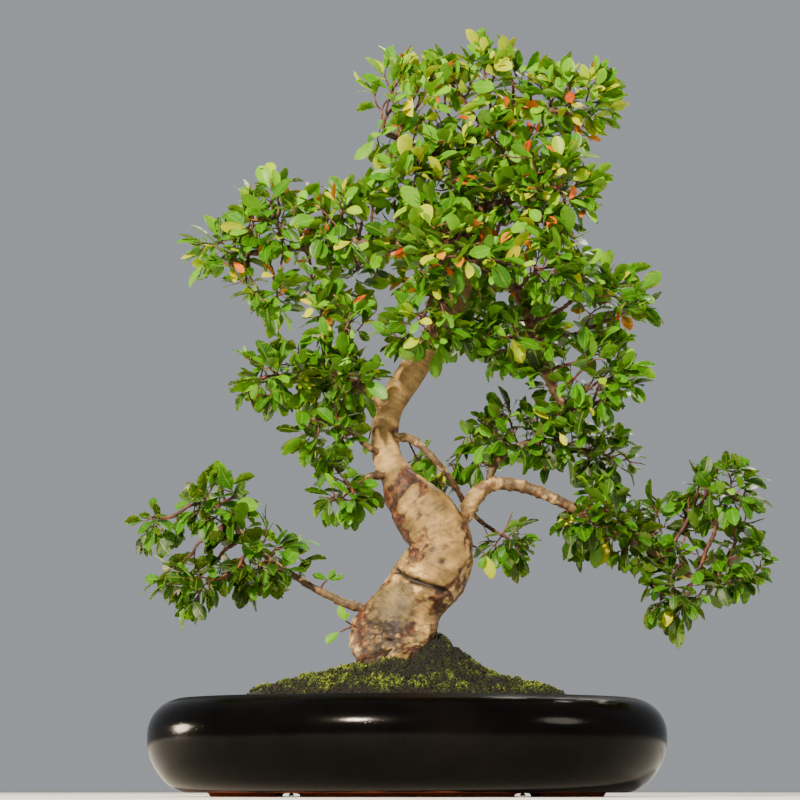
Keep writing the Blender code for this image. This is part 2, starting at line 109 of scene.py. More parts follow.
def lattice_random(cells: Array, seed: int) -> Array:
    """A number in 0..1 for each cell of a whole-number lattice.

    Args:
        cells: Whole numbers, the last axis holding x, y and z.
        seed: Another seed gives other numbers.

    Returns:
        The cell's indices multiplied by primes, mixed by shift and multiply, and scaled.
    """
    x, y, z = (cells[..., axis] * prime for axis, prime in enumerate(PRIMES))
    mixed = (x ^ y ^ z ^ (seed * SEED_PRIME)) & WORD
    for _ in range(2):
        mixed = ((mixed ^ (mixed >> 16)) * MIXER) & WORD
    return (mixed ^ (mixed >> 16)) / float(WORD)


def soft_noise(points: Array, size: float, seed: int) -> Array:
    """Smooth noise in -1..1 whose features are about size across.

    Args:
        points: Places in metres.
        size: The lattice's spacing, in metres.
        seed: Another seed gives another pattern.

    Returns:
        The lattice's random numbers, blended by the quintic fade 6t^5 - 15t^4 + 10t^3.
    """
    grid = points / size
    cell = np.floor(grid).astype(np.int64)
    part = grid - cell
    fade = part**3 * (part * (part * 6.0 - 15.0) + 10.0)
    total = np.zeros(points.shape[:-1])
    for corner in itertools.product((0, 1), repeat=3):
        weight = np.where(np.array(corner) == 1, fade, 1.0 - fade).prod(axis=-1)
        total += weight * lattice_random(cell + np.array(corner), seed)
    return 2.0 * total - 1.0


def layered_noise(points: Array, size: float, seed: int, layers: int = 4) -> Array:
    """Soft noise summed over layers, each half as large and half as strong as the one before."""
    total = np.zeros(points.shape[:-1])
    for layer in range(layers):
        total += soft_noise(points, size / 2**layer, seed + 17 * layer) / 2**layer
    return total / NOISE_RANGE


def cell_distances(points: Array, size: float, seed: int) -> tuple[Array, Array]:
    """Distances to the nearest and second nearest of the seeds that lie one in each lattice cell.

    Args:
        points: Places in metres, in rows.
        size: The cells' spacing, in metres.
        seed: Another seed gives another pattern.

    Returns:
        Both distances, in cells.
    """
    grid = points / size
    home = np.floor(grid).astype(np.int64)
    first = np.full(len(points), 9.0)
    second = np.full(len(points), 9.0)
    for offset in itertools.product((-1, 0, 1), repeat=3):
        cell = home + np.array(offset)
        spot = cell + np.stack([lattice_random(cell, seed + k) for k in range(3)], axis=-1)
        distance = np.linalg.norm(grid - spot, axis=-1)
        second = np.minimum(second, np.maximum(first, distance))
        first = np.minimum(first, distance)
    return first, second


def resample(path: Array, count: int) -> Array:
    """The rows of a path read again at equal steps along its length, by straight interpolation."""
    along = np.concatenate([[0.0], np.cumsum(np.linalg.norm(np.diff(path[:, :3], axis=0), axis=1))])
    wanted = np.linspace(0.0, along[-1], count)
    return np.stack([np.interp(wanted, along, column) for column in path.T], axis=1)


def smoothed(path: Array, passes: int) -> Array:
    """A path with each inner row moved halfway to the middle of its neighbours, several times."""
    path = path.copy()
    for _ in range(passes):
        path[1:-1] = 0.5 * path[1:-1] + 0.25 * (path[:-2] + path[2:])
    return path


# ---------------------------------------------------------------- meshes from arrays


@dataclass
class Surface:
    """Points and faces on their way to a mesh, with values for the materials to read.

    Attributes:
        points: Places in metres, in rows.
        faces: Arrays of point numbers, each with one face in a row.
        values: Attribute name to one number for each point.
        uv: Two texture coordinates for each face corner, or None.
    """

    points: Array
    faces: list[Array]
    values: dict[str, Array] = field(default_factory=dict)
    uv: Array | None = None

    @staticmethod
    def joined(parts: Sequence[Surface]) -> Surface:
        """All the parts as one surface. Every part has the same values."""
        starts = np.cumsum([0] + [len(part.points) for part in parts[:-1]])
        faces = [face + start for part, start in zip(parts, starts) for face in part.faces]
        values = {key: np.concatenate([part.values[key] for part in parts]) for key in parts[0].values}
        return Surface(np.concatenate([part.points for part in parts]), faces, values)

    def build(self, name: str, sharp_degrees: float | None = None) -> bpy.types.Object:
        """Makes the mesh object, shaded smooth.

        Args:
            name: The piece's name.
            sharp_degrees: Edges that bend more than this stay crisp. None leaves all of them smooth.

        Returns:
            The object, linked to the scene.
        """
        corners = np.concatenate([face.ravel() for face in self.faces]).astype(np.int32)
        sizes = np.concatenate([np.full(len(face), face.shape[1]) for face in self.faces])
        starts = np.concatenate([[0], np.cumsum(sizes)[:-1]]).astype(np.int32)
        mesh = bpy.data.meshes.new(name)
        mesh.vertices.add(len(self.points))
        mesh.vertices.foreach_set("co", self.points.astype(np.float32).ravel())
        mesh.loops.add(len(corners))
        mesh.loops.foreach_set("vertex_index", corners)
        mesh.polygons.add(len(sizes))
        mesh.polygons.foreach_set("loop_start", starts)
        mesh.update(calc_edges=True)
        for key, numbers in self.values.items():
            stored = mesh.attributes.new(key, "FLOAT", "POINT")
            stored.data.foreach_set("value", numbers.astype(np.float32))
        if self.uv is not None:
            layer = mesh.uv_layers.new(name="blade")
            layer.data.foreach_set("uv", self.uv.astype(np.float32).ravel())
        mesh.shade_smooth()
        if sharp_degrees is not None:
            mesh.set_sharp_from_angle(angle=math.radians(sharp_degrees))
        piece = bpy.data.objects.new(name, mesh)
        bpy.context.scene.collection.objects.link(piece)
        return piece


def grid_quads(rows: int, columns: int) -> Array:
    """Quads between neighbouring rows of a grid of points whose columns close into a ring."""
    row, column = np.meshgrid(np.arange(rows - 1), np.arange(columns), indexing="ij")
    after = (column + 1) % columns
    corners = [row * columns + column, row * columns + after]
    corners += [(row + 1) * columns + after, (row + 1) * columns + column]
    return np.stack([corner.ravel() for corner in corners], axis=1)


def tube_frames(path: Array) -> tuple[Array, Array]:
    """Two directions across a path at every point of it.

    The first direction is the part of one fixed world axis that is square to the tangent, and the
    second is square to both. The axis is the one that the path runs along least.
    """
    tangent = unit(np.gradient(path[:, :3], axis=0))
    axis = np.eye(3)[np.argmin(np.abs(tangent).max(axis=0))]
    across = unit(axis - (tangent @ axis)[:, None] * tangent)
    return across, np.cross(tangent, across)


def ring_angles(count: int) -> Array:
    """Equal steps once round a circle, in radians."""
    return TURN * np.arange(count) / count


def disc_rings(rings: int, around: int, half: Array) -> tuple[Array, Array]:
    """The x and y of points on evenly spaced rings of an oval, from near its middle to its edge."""
    share = (np.arange(1, rings + 1) / rings)[:, None]
    angle = ring_angles(around)
    return half[0] * share * np.cos(angle), half[1] * share * np.sin(angle)


def strewn(random: np.random.Generator, area: tuple[float, float], half: Array, count: int) -> list[Array]:
    """The x and y of random places on an oval, between two shares of its area counted from its middle."""
    reach = np.sqrt(random.uniform(*area, count))
    angle = random.uniform(0.0, TURN, count)
    return [half[0] * reach * np.cos(angle), half[1] * reach * np.sin(angle)]


def tube(path: Array, sides: int) -> Surface:
    """A round tube along rows of x, y, z and radius, with flat caps.

    Args:
        path: The stations, in metres.
        sides: Points round each station.

    Returns:
        Point (i, k) is station i + radius * (cos k * across + sin k * second direction).
    """
    across, second = tube_frames(path)
    angle = ring_angles(sides)[None, :, None]
    spokes = np.cos(angle) * across[:, None] + np.sin(angle) * second[:, None]
    points = path[:, None, :3] + path[:, None, 3:] * spokes
    ring = np.arange(sides)
    caps = [ring[None, ::-1], ring[None] + (len(path) - 1) * sides]
    return Surface(points.reshape(-1, 3), [grid_quads(len(path), sides)] + caps)


# ---------------------------------------------------------------- finishes


def colour(code: str) -> tuple[float, float, float, float]:
    """A hex sRGB colour as linear light, with full alpha."""
    parts = [int(code[k : k + 2], 16) / 255.0 for k in (1, 3, 5)]
    return (*(p / 12.92 if p <= 0.04045 else ((p + 0.055) / 1.055) ** 2.4 for p in parts), 1.0)


def per_metre(size_mm: float) -> float:
    """A texture node's scale for features of that size."""
    return 1.0 / (size_mm * MM)


Sockets = dict[str | int, Any]
Socket = bpy.types.NodeSocket
LEAF_GLOW = (0.6, 1.0, 0.2)
GLOW_DEPTH_MM = 1.5


def add_node(
    tree: bpy.types.NodeTree,
    kind: str,
    inputs: Sockets | None = None,
    stops: Sequence[tuple[float, Any]] = (),
    **settings: Any,
) -> bpy.types.Node:
    """Adds one shader node.

    Args:
        tree: The material's nodes.
        kind: The node's type, without the ShaderNode that every type starts with.
        inputs: Input name or number to a value, or to the socket that it is linked from.
        stops: A colour ramp's places and hex colours, for that node only.
        **settings: The node's own properties.

    Returns:
        The node.
    """
    node = tree.nodes.new("ShaderNode" + kind)
    for key, value in settings.items():
        setattr(node, key, value)
    for key, value in (inputs or {}).items():
        if isinstance(value, bpy.types.NodeSocket):
            tree.links.new(value, node.inputs[key])
        else:
            node.inputs[key].default_value = value
    for number, (place, code) in enumerate(stops):
        elements = node.color_ramp.elements
        element = elements[number] if number < 2 else elements.new(place)
        element.position = place
        element.color = colour(code)
    return node


@dataclass(frozen=True)
class Finish:
    """What a surface is made of. A subclass adds its pattern in paint.

    Attributes:
        name: The material's common name and how its surface was made.
        base: Its hex colour, where no pattern says otherwise.
        roughness: From 0, polished, to 1, matt.
        metallic: 1 for bare metal.
        ior: The index of refraction of the surface.
        specular: How strongly it mirrors, where 0.5 is what its index alone gives.
        soft_light: How much light enters and spreads inside.
    """

    name: str
    base: str
    roughness: float
    metallic: float = 0.0
    ior: float = 1.5
    specular: float = 0.5
    soft_light: float = 0.0

    def material(self) -> bpy.types.Material:
        """The finish as a material, made once."""
        made = bpy.data.materials.get(self.name)
        if made is None:
            made = bpy.data.materials.new(self.name)
            made.use_nodes = True
            tree = made.node_tree
            shader = tree.nodes["Principled BSDF"]
            shader.inputs["Base Color"].default_value = colour(self.base)
            shader.inputs["Roughness"].default_value = self.roughness
            shader.inputs["Metallic"].default_value = self.metallic
            shader.inputs["IOR"].default_value = self.ior
            shader.inputs["Specular IOR Level"].default_value = self.specular
            if self.soft_light > 0.0:
                shader.inputs["Subsurface Weight"].default_value = self.soft_light
                shader.inputs["Subsurface Radius"].default_value = LEAF_GLOW
                shader.inputs["Subsurface Scale"].default_value = GLOW_DEPTH_MM * MM
            place = add_node(tree, "TexCoord").outputs["Object"]
            for name, socket in self.paint(tree, place).items():
                tree.links.new(socket, shader.inputs[name])
        return made

    def paint(self, tree: bpy.types.NodeTree, place: Socket) -> dict[str, Socket]:
        """Adds the pattern's nodes, and names the shader's inputs that they feed. A plain finish has none."""
        return {}

    def dress(self, piece: bpy.types.Object) -> None:
        """Gives the piece this finish alone."""
        piece.data.materials.clear()
        piece.data.materials.append(self.material())


@dataclass(frozen=True)
class BlackGlaze(Finish):
    """Dipped black stoneware glaze: deep gloss, faint brown breaks, pinholes, and a rim dulled by wear."""

    name: str = "black_stoneware_glaze"
    base: str = "#0c0b0b"
    roughness: float = 0.11
    specular: float = 0.07
    bare_below_mm: float = 3.5
    bare_edge_mm: float = 0.5
    bare_waver_mm: float = 2.2
    worn_above_mm: float = 49.0
    worn_edge_mm: float = 2.5
    worn_roughness: float = 0.42

    def paint(self, tree: bpy.types.NodeTree, place: Socket) -> dict[str, Socket]:
        """Black with brown clouds of 40 mm, bare clay under a wavering line, and a duller rim."""
        cloud = add_node(tree, "TexNoise", {"Vector": place, "Scale": per_metre(40), "Detail": 5.0})
        glaze = add_node(
            tree, "ValToRGB", {0: cloud.outputs[0]},
            stops=[(0.30, "#020202"), (0.75, "#0b0806"), (0.55, "#050404")])
        grain = add_node(tree, "TexNoise", {"Vector": place, "Scale": per_metre(1.6), "Detail": 4.0})
        clay = add_node(
            tree, "ValToRGB", {0: grain.outputs[0]}, stops=[(0.3, "#7a3f2a"), (0.7, "#a4583a")])
        height = add_node(tree, "SeparateXYZ", {0: place}).outputs["Z"]
        waver = add_node(tree, "TexNoise", {"Vector": place, "Scale": per_metre(28)}).outputs[0]
        line = add_node(
            tree, "Math", {0: waver, 1: self.bare_waver_mm * MM, 2: height},
            operation="MULTIPLY_ADD").outputs[0]
        low = (self.bare_below_mm - self.bare_edge_mm) * MM
        glazed = add_node(
            tree, "MapRange", {0: line, 1: low, 2: low + 2 * self.bare_edge_mm * MM}).outputs[0]
        mix = add_node(
            tree, "Mix", {0: glazed, 6: clay.outputs[0], 7: glaze.outputs[0]}, data_type="RGBA")
        rough = add_node(tree, "MapRange", {0: glazed, 3: 0.85, 4: self.roughness}).outputs[0]
        top = self.worn_above_mm * MM
        rim = add_node(
            tree, "MapRange",
            {0: height, 1: top, 2: top + self.worn_edge_mm * MM, 4: self.worn_roughness}).outputs[0]
        dulled = add_node(tree, "Math", {0: rough, 1: rim}, operation="ADD").outputs[0]
        worn = add_node(tree, "Math", {0: cloud.outputs[0], 1: 0.07, 2: dulled}, operation="MULTIPLY_ADD")
        pits = add_node(tree, "TexVoronoi", {"Vector": place, "Scale": per_metre(2.6)})
        pinhole = add_node(tree, "MapRange", {0: pits.outputs["Distance"], 1: 0.05, 2: 0.22}).outputs[0]
        ripple = add_node(tree, "TexNoise", {"Vector": place, "Scale": per_metre(9), "Detail": 3.0})
        both = add_node(
            tree, "Math", {0: ripple.outputs[0], 1: 2.0, 2: pinhole}, operation="MULTIPLY_ADD")
        bump = add_node(
            tree, "Bump", {"Height": both.outputs[0], "Strength": 0.28, "Distance": 0.12 * MM})
        return {"Base Color": mix.outputs[2], "Roughness": worn.outputs[0], "Normal": bump.outputs[0]}


@dataclass(frozen=True)
class ElmBark(Finish):
    """Elm bark: smooth tan with freckles and fine wrinkles, rust and brown where thin plates flaked off."""

    name: str = "elm_bark"
    base: str = "#b39a76"
    roughness: float = 0.66

    def paint(self, tree: bpy.types.NodeTree, place: Socket) -> dict[str, Socket]:
        """Tan clouds, then the mesh's own flakes, dirt with painted shade, olive and peel, and dark scars
        with painted shade in creases, cracks and crevices, then wrinkles across and freckles.
        """
        cloud = add_node(tree, "TexNoise", {"Vector": place, "Scale": per_metre(12), "Detail": 7.0})
        tan = add_node(
            tree, "ValToRGB", {0: cloud.outputs[0]},
            stops=[(0.28, "#4c3c20"), (0.74, "#bd9a5e"), (0.42, "#785f30"), (0.56, "#957643")])
        grain = add_node(tree, "TexNoise", {"Vector": place, "Scale": per_metre(2.6), "Detail": 6.0})
        rust = add_node(
            tree, "ValToRGB", {0: grain.outputs[0]},
            stops=[(0.32, "#170b05"), (0.74, "#a8763a"), (0.46, "#402010"), (0.60, "#70401d")])
        shade = add_node(
            tree, "ValToRGB", {0: grain.outputs[0]},
            stops=[(0.30, "#130a06"), (0.74, "#6d4b2c"), (0.5, "#342013")])
        grey = add_node(
            tree, "ValToRGB", {0: cloud.outputs[0]}, stops=[(0.3, "#2f2816"), (0.7, "#83714a")])
        own = {key: add_node(tree, "Attribute", attribute_name=key).outputs["Fac"]
               for key in ("flake", "dirt_and_shade", "olive", "peel", "scar_and_shade", "round_x", "round_y", "run")}
        # The dirt layer carries painted shade as well as dirt, and the near-black scar layer carries painted
        # shade in creases, cracks and under plate edges as well as scars.
        covers = {"flake": rust.outputs[0], "dirt_and_shade": shade.outputs[0], "olive": grey.outputs[0],
                  "peel": colour("#d6b270"), "scar_and_shade": colour("#1f0f08")}
        skin = tan.outputs[0]
        for key, over in covers.items():
            skin = add_node(tree, "Mix", {0: own[key], 6: skin, 7: over}, data_type="RGBA").outputs[2]
        skin_place = add_node(
            tree, "CombineXYZ", {0: own["round_x"], 1: own["round_y"], 2: own["run"]}).outputs[0]
        squeezed = add_node(
            tree, "VectorMath", {0: skin_place, 1: (0.16, 0.16, 1.0)}, operation="MULTIPLY").outputs[0]
        wrinkle = add_node(
            tree, "TexNoise", {"Vector": squeezed, "Scale": per_metre(1.3), "Detail": 4.0}).outputs[0]
        line = add_node(tree, "MapRange", {0: wrinkle, 1: 0.34, 2: 0.50, 3: 0.62, 4: 1.0}).outputs[0]
        spots = add_node(tree, "TexVoronoi", {"Vector": place, "Scale": per_metre(3.1)})
        freckle = add_node(
            tree, "MapRange", {0: spots.outputs["Distance"], 1: 0.07, 2: 0.20, 3: 0.45, 4: 1.0}).outputs[0]
        dark = add_node(tree, "Math", {0: line, 1: freckle}, operation="MULTIPLY").outputs[0]
        four = add_node(tree, "Mix", {0: 1.0, 6: skin, 7: dark}, data_type="RGBA", blend_type="MULTIPLY")
        relief = add_node(
            tree, "Math", {0: wrinkle, 1: 1.2, 2: grain.outputs[0]}, operation="MULTIPLY_ADD").outputs[0]
        bump = add_node(tree, "Bump", {"Height": relief, "Strength": 0.8, "Distance": 0.4 * MM})
        return {"Base Color": four.outputs[2], "Normal": bump.outputs[0]}


@dataclass(frozen=True)
class TwigBark(Finish):
    """Young elm twig: thin reddish-brown skin, a little shiny, greyer where it is older."""

    name: str = "elm_twig_bark"
    base: str = "#6b4330"
    roughness: float = 0.6

    def paint(self, tree: bpy.types.NodeTree, place: Socket) -> dict[str, Socket]:
        """Red-brown to grey-brown in patches of 5 mm."""
        cloud = add_node(tree, "TexNoise", {"Vector": place, "Scale": per_metre(5), "Detail": 5.0})
        skin = add_node(
            tree, "ValToRGB", {0: cloud.outputs[0]},
            stops=[(0.30, "#1f0e09"), (0.74, "#7d4c2a"), (0.5, "#482113")])
        bump = add_node(tree, "Bump", {"Height": cloud.outputs[0], "Strength": 0.5, "Distance": 0.2 * MM})
        return {"Base Color": skin.outputs[0], "Normal": bump.outputs[0]}


@dataclass(frozen=True)
class ElmLeaf(Finish):
    """Elm leaf: a waxy upper side with a pale midrib and slanting side veins, and a paler underside."""

    name: str = "elm_leaf"
    base: str = "#3f7a1e"
    roughness: float = 0.38
    ior: float = 1.40
    specular: float = 0.25
    soft_light: float = 0.12
    side_veins: int = 10

    def paint(self, tree: bpy.types.NodeTree, place: Socket) -> dict[str, Socket]:
        """The leaf's tone picks its colour; the blade's own map draws ribs: u along it, v across it."""
        tone = add_node(tree, "Attribute", attribute_name="tone").outputs["Fac"]
        skin = add_node(
            tree, "ValToRGB", {0: tone},
            stops=[(0.0, "#061c02"), (1.0, "#9c1404"), (0.22, "#113a02"), (0.45, "#2f7001"),
                   (0.62, "#60a002"), (0.76, "#b0ae00"), (0.87, "#c45806")])
        blade = add_node(tree, "UVMap", uv_map="blade").outputs[0]
        split = add_node(tree, "SeparateXYZ", {0: blade})
        across = add_node(tree, "Math", {0: split.outputs[1], 1: 0.5}, operation="SUBTRACT").outputs[0]
        reach = add_node(tree, "Math", {0: across}, operation="ABSOLUTE").outputs[0]
        rib = add_node(tree, "MapRange", {0: reach, 1: 0.02, 2: 0.07, 3: 1.0, 4: 0.0}).outputs[0]
        slant = add_node(
            tree, "Math", {0: reach, 1: -0.45, 2: split.outputs[0]}, operation="MULTIPLY_ADD").outputs[0]
        turns = add_node(tree, "Math", {0: slant, 1: TURN * self.side_veins}, operation="MULTIPLY").outputs[0]
        wave = add_node(tree, "Math", {0: turns}, operation="SINE").outputs[0]
        vein = add_node(tree, "MapRange", {0: wave, 1: 0.40, 2: 1.0, 3: 0.0, 4: 0.45}).outputs[0]
        lines = add_node(tree, "Math", {0: rib, 1: vein}, operation="MAXIMUM").outputs[0]
        light = add_node(
            tree, "Mix", {0: 0.14, 6: skin.outputs[0], 7: colour("#c5d850")}, data_type="RGBA")
        ribbed = add_node(
            tree, "Mix", {0: lines, 6: skin.outputs[0], 7: light.outputs[2]}, data_type="RGBA")
        under = add_node(tree, "Math", {0: split.outputs[0], 1: 1.5}, operation="GREATER_THAN").outputs[0]
        paler = add_node(
            tree, "Mix", {0: 0.16, 6: skin.outputs[0], 7: colour("#93b040")}, data_type="RGBA")
        both = add_node(
            tree, "Mix", {0: under, 6: ribbed.outputs[2], 7: paler.outputs[2]}, data_type="RGBA")
        cloud = add_node(tree, "TexNoise", {"Vector": place, "Scale": per_metre(6), "Detail": 3.0})
        mottle = add_node(tree, "MapRange", {0: cloud.outputs[0], 1: 0.3, 2: 0.7, 3: 0.82, 4: 1.12})
        final = add_node(
            tree, "Mix", {0: 1.0, 6: both.outputs[2], 7: mottle.outputs[0]},
            data_type="RGBA", blend_type="MULTIPLY")
        bump = add_node(
            tree, "Bump", {"Height": lines, "Strength": 0.35, "Distance": 0.15 * MM}, invert=True)
        return {"Base Color": final.outputs[2], "Normal": bump.outputs[0]}


@dataclass(frozen=True)
class CushionMoss(Finish):
    """Living cushion moss: matt, yellow-green at its tips and dark brown between them, darkened further there
    as painted shade.
    """

    name: str = "cushion_moss"
    base: str = "#5c6b1c"
    roughness: float = 0.95

    def paint(self, tree: bpy.types.NodeTree, place: Socket) -> dict[str, Socket]:
        """The mesh's own value picks earth, deep green or tip colour, broken up by 1 mm noise."""
        green = add_node(tree, "Attribute", attribute_name="green").outputs["Fac"]
        fine = add_node(tree, "TexNoise", {"Vector": place, "Scale": per_metre(1.1), "Detail": 4.0})
        spread = add_node(
            tree, "MapRange", {0: fine.outputs[0], 1: 0.3, 2: 0.7, 3: -0.22, 4: 0.22}).outputs[0]
        mixed = add_node(tree, "Math", {0: green, 1: spread}, operation="ADD").outputs[0]
        skin = add_node(
            tree, "ValToRGB", {0: mixed},
            stops=[(0.0, "#030201"), (1.0, "#a0a81c"), (0.18, "#0d0703"), (0.36, "#151702"),
                   (0.56, "#303e05"), (0.80, "#5d700b")])
        bump = add_node(tree, "Bump", {"Height": fine.outputs[0], "Strength": 1.0, "Distance": 0.6 * MM})
        return {"Base Color": skin.outputs[0], "Normal": bump.outputs[0]}


@dataclass(frozen=True)
class Grains(Finish):
    """Loose mineral or earthy grains: matt, each grain a little lighter or darker."""

    dark: str = "#1d130c"
    light: str = "#5a4027"
    grain_mm: float = 2.0

    def paint(self, tree: bpy.types.NodeTree, place: Socket) -> dict[str, Socket]:
        """One shade in each cell of the grain's size, with fine speckle and a rounded bump."""
        cells = add_node(tree, "TexVoronoi", {"Vector": place, "Scale": per_metre(self.grain_mm)})
        speck = add_node(
            tree, "TexNoise", {"Vector": place, "Scale": per_metre(self.grain_mm / 4), "Detail": 4.0})
        pick = add_node(
            tree, "Mix", {0: 0.45, 6: cells.outputs["Color"], 7: speck.outputs[0]}, data_type="RGBA")
        skin = add_node(
            tree, "ValToRGB", {0: pick.outputs[2]}, stops=[(0.25, self.dark), (0.75, self.light)])
        bump = add_node(
            tree, "Bump", {"Height": cells.outputs["Distance"], "Strength": 0.8, "Distance": 0.5 * MM},
            invert=True)
        return {"Base Color": skin.outputs[0], "Normal": bump.outputs[0]}


@dataclass(frozen=True)
class BrushedSpeck(Finish):
    """A plain moulded or drawn surface with a fine speck in its colour and sheen."""

    speck_mm: float = 0.8

    def paint(self, tree: bpy.types.NodeTree, place: Socket) -> dict[str, Socket]:
        """Roughness and colour waver by a tenth in specks."""
        speck = add_node(
            tree, "TexNoise", {"Vector": place, "Scale": per_metre(self.speck_mm), "Detail": 4.0})
        shade = add_node(tree, "MapRange", {0: speck.outputs[0], 3: 0.8, 4: 1.2}).outputs[0]
        skin = add_node(
            tree, "Mix", {0: 1.0, 6: colour(self.base), 7: shade}, data_type="RGBA", blend_type="MULTIPLY")
        rough = add_node(
            tree, "MapRange", {0: speck.outputs[0], 3: self.roughness - 0.06, 4: self.roughness + 0.06})
        bump = add_node(
            tree, "Bump", {"Height": speck.outputs[0], "Strength": 0.15, "Distance": 0.1 * MM})
        return {"Base Color": skin.outputs[2], "Roughness": rough.outputs[0], "Normal": bump.outputs[0]}


BARE_SOIL = Grains("potting_soil", "#33241a", 0.95)
SOIL_CRUMB = Grains("soil_crumb", "#4a3524", 0.92, dark="#2a1c12", light="#8a6a48", grain_mm=3.0)
PUMICE = Grains("pumice_gravel", "#b8a890", 0.9, dark="#7d6a52", light="#cdbfa6", grain_mm=4.0)
MESH_PLASTIC = BrushedSpeck("moulded_green_plastic", "#2c3a2a", 0.55)
DRAWN_WIRE = BrushedSpeck("drawn_aluminium_wire", "#b9b2a8", 0.35, metallic=1.0)
PALE_FLOOR = BrushedSpeck("pale_painted_floor", "#dcdad4", 0.8, speck_mm=3.0)


def settle(piece: bpy.types.Object, finish: Finish, nodes: Sequence[str] = ()) -> None:
    """Finishes a piece, and tells the frame its body and the nodes that it stands for."""
    finish.dress(piece)
    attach(piece, BODY)
    if nodes:
        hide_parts(*nodes)
    LOG.info("%s: %d faces", piece.name, len(piece.data.polygons))


# ---------------------------------------------------------------- the frame's solids as guides


def node_triangles(node: bpy.types.Object) -> Array:
    """A node's triangles, as corners in metres: triangle, corner, axis."""
    mesh = node.data
    places = np.empty(len(mesh.vertices) * 3, np.float32)
    mesh.vertices.foreach_get("co", places)
    mesh.calc_loop_triangles()
    corners = np.empty(len(mesh.loop_triangles) * 3, np.int32)
    mesh.loop_triangles.foreach_get("vertices", corners)
    return places.reshape(-1, 3)[corners].reshape(-1, 3, 3).astype(float)


@dataclass
class StemTracer:
    """Finds a stem's centreline by cutting its solid across, step by step, from its tip.

    Attributes:
        step: Distance between cuts, in millimetres.
        most: Cuts before it gives up.
        reach: How far from the expected centre a cut's edge may lie, in radii.
        slack: Added to that reach, in millimetres.
        tip_ball: Corners this near the tip give the first centre, in millimetres.
        aim_ball: Corners this near the tip give the first direction, in millimetres.
        tip_radius: The radius expected at the first cut, in millimetres.
    """

    step: float = 2.5
    most: int = 400
    reach: float = 2.2
    slack: float = 1.5
    tip_ball: float = 3.0
    aim_ball: float = 14.0
    tip_radius: float = 2.5

    def trace(self, triangles: Array, root: Array, floor: float) -> Array:
        """The stem from its root end to its tip, as rows of x, y, z and radius.

        Args:
            triangles: The stem's solid.
            root: A point near the stem's root end. Its tip is the solid's farthest point from there.
            floor: Height in metres below which the stem isn't followed.

        Returns:
            The rows, smoothed twice.
        """
        corners = triangles.reshape(-1, 3)
        tip = corners[np.argmax(np.linalg.norm(corners - root, axis=1))]
        away = np.linalg.norm(corners - tip, axis=1)
        centre = corners[away < self.tip_ball * MM].mean(axis=0)
        heading = unit(corners[away < self.aim_ball * MM].mean(axis=0) - centre)
        radius = self.tip_radius * MM
        rows = []
        for _ in range(self.most):
            probe = centre + heading * self.step * MM
            middle, size = self.cut(triangles, probe, heading, self.reach * radius + self.slack * MM)
            if size == 0.0 or middle[2] < floor:
                break
            moved = unit(middle - centre)
            centre, radius = middle, size
            heading = unit(heading + moved)
            rows.append([*centre, radius])
        return smoothed(np.array(rows[::-1]), 2)

    @staticmethod
    def cut(triangles: Array, origin: Array, normal: Array, limit: float) -> tuple[Array, float]:
        """Middle and mean radius of the cut that a plane makes, weighted by its edges' lengths.

        Args:
            triangles: The solid.
            origin: A point on the plane.
            normal: The plane's direction.
            limit: Edges farther than this from the origin belong to something else.

        Returns:
            The middle and the radius, which is 0 where the plane misses.
        """
        side = (triangles - origin) @ normal
        hit = (side.min(axis=1) < 0.0) & (side.max(axis=1) >= 0.0)
        corners, side = triangles[hit], side[hit]
        after, side_after = np.roll(corners, -1, axis=1), np.roll(side, -1, axis=1)
        crossing = (side < 0.0) != (side_after < 0.0)
        share = side / np.where(crossing, side - side_after, 1.0)
        ends = (corners + share[..., None] * (after - corners))[crossing].reshape(-1, 2, 3)
        mids = ends.mean(axis=1)
        near = np.linalg.norm(mids - origin, axis=1) < limit
        if near.sum() < 3:
            return origin, 0.0
        weight = np.linalg.norm(ends[near, 0] - ends[near, 1], axis=1)[:, None]
        middle = (mids[near] * weight).sum(axis=0) / weight.sum()
        spread = np.linalg.norm(mids[near] - middle, axis=1)[:, None]
        return middle, float((spread * weight).sum() / weight.sum())


@dataclass
class Skeleton:
    """Every stem's centreline, traced from the frame.

    Attributes:
        stems: Node name to rows of x, y, z and radius, from root end to tip.
    """

    stems: dict[str, Array] = field(default_factory=dict)

    @staticmethod
    def from_frame(nodes: dict[str, bpy.types.Object]) -> Skeleton:
        """Traces the trunk from the pot up, then each branch outwards from the stem it grows on."""
        tracer = StemTracer()
        triangles = {name: node_triangles(node) for name, node in nodes.items()
                     if name == "trunk" or name.startswith("branch_")}
        trunk = triangles["trunk"].reshape(-1, 3)
        foot = trunk[np.argsort(trunk[:, 2])[:40]].mean(axis=0)
        soil_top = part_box("moss")[0][2]
        root = np.array([*foot[:2], soil_top])
        made = Skeleton({"trunk": tracer.trace(triangles["trunk"], root, soil_top)})
        waiting = sorted(n for n in triangles if n != "trunk")
        while waiting:
            known = np.concatenate(list(made.stems.values()))
            gaps = {n: made.nearest_gap(triangles[n].reshape(-1, 3), known) for n in waiting}
            name = min(waiting, key=lambda n: gaps[n][0])
            made.stems[name] = made.rooted(tracer.trace(triangles[name], gaps[name][1], 0.0), known)
            waiting.remove(name)
        return made

    @staticmethod
    def nearest_gap(corners: Array, known: Array) -> tuple[float, Array]:
        """How close a solid comes to the known stems' surfaces, and the solid's point that does."""
        gaps = np.linalg.norm(corners[:, None] - known[None, :, :3], axis=2) - known[None, :, 3]
        best = np.unravel_index(np.argmin(gaps), gaps.shape)
        return float(gaps[best]), corners[best[0]]

    @staticmethod
    def rooted(stem: Array, known: Array) -> Array:
        """A branch with its root end carried on into the stem it grows from."""
        gap = np.linalg.norm(known[:, :3] - stem[0, :3], axis=1) - known[:, 3]
        parent = known[np.argmin(gap)]
        inside = stem[0, :3] + 0.55 * (parent[:3] - stem[0, :3])
        return np.concatenate([[[*inside, stem[0, 3]]], stem])


# ---------------------------------------------------------------- the pot


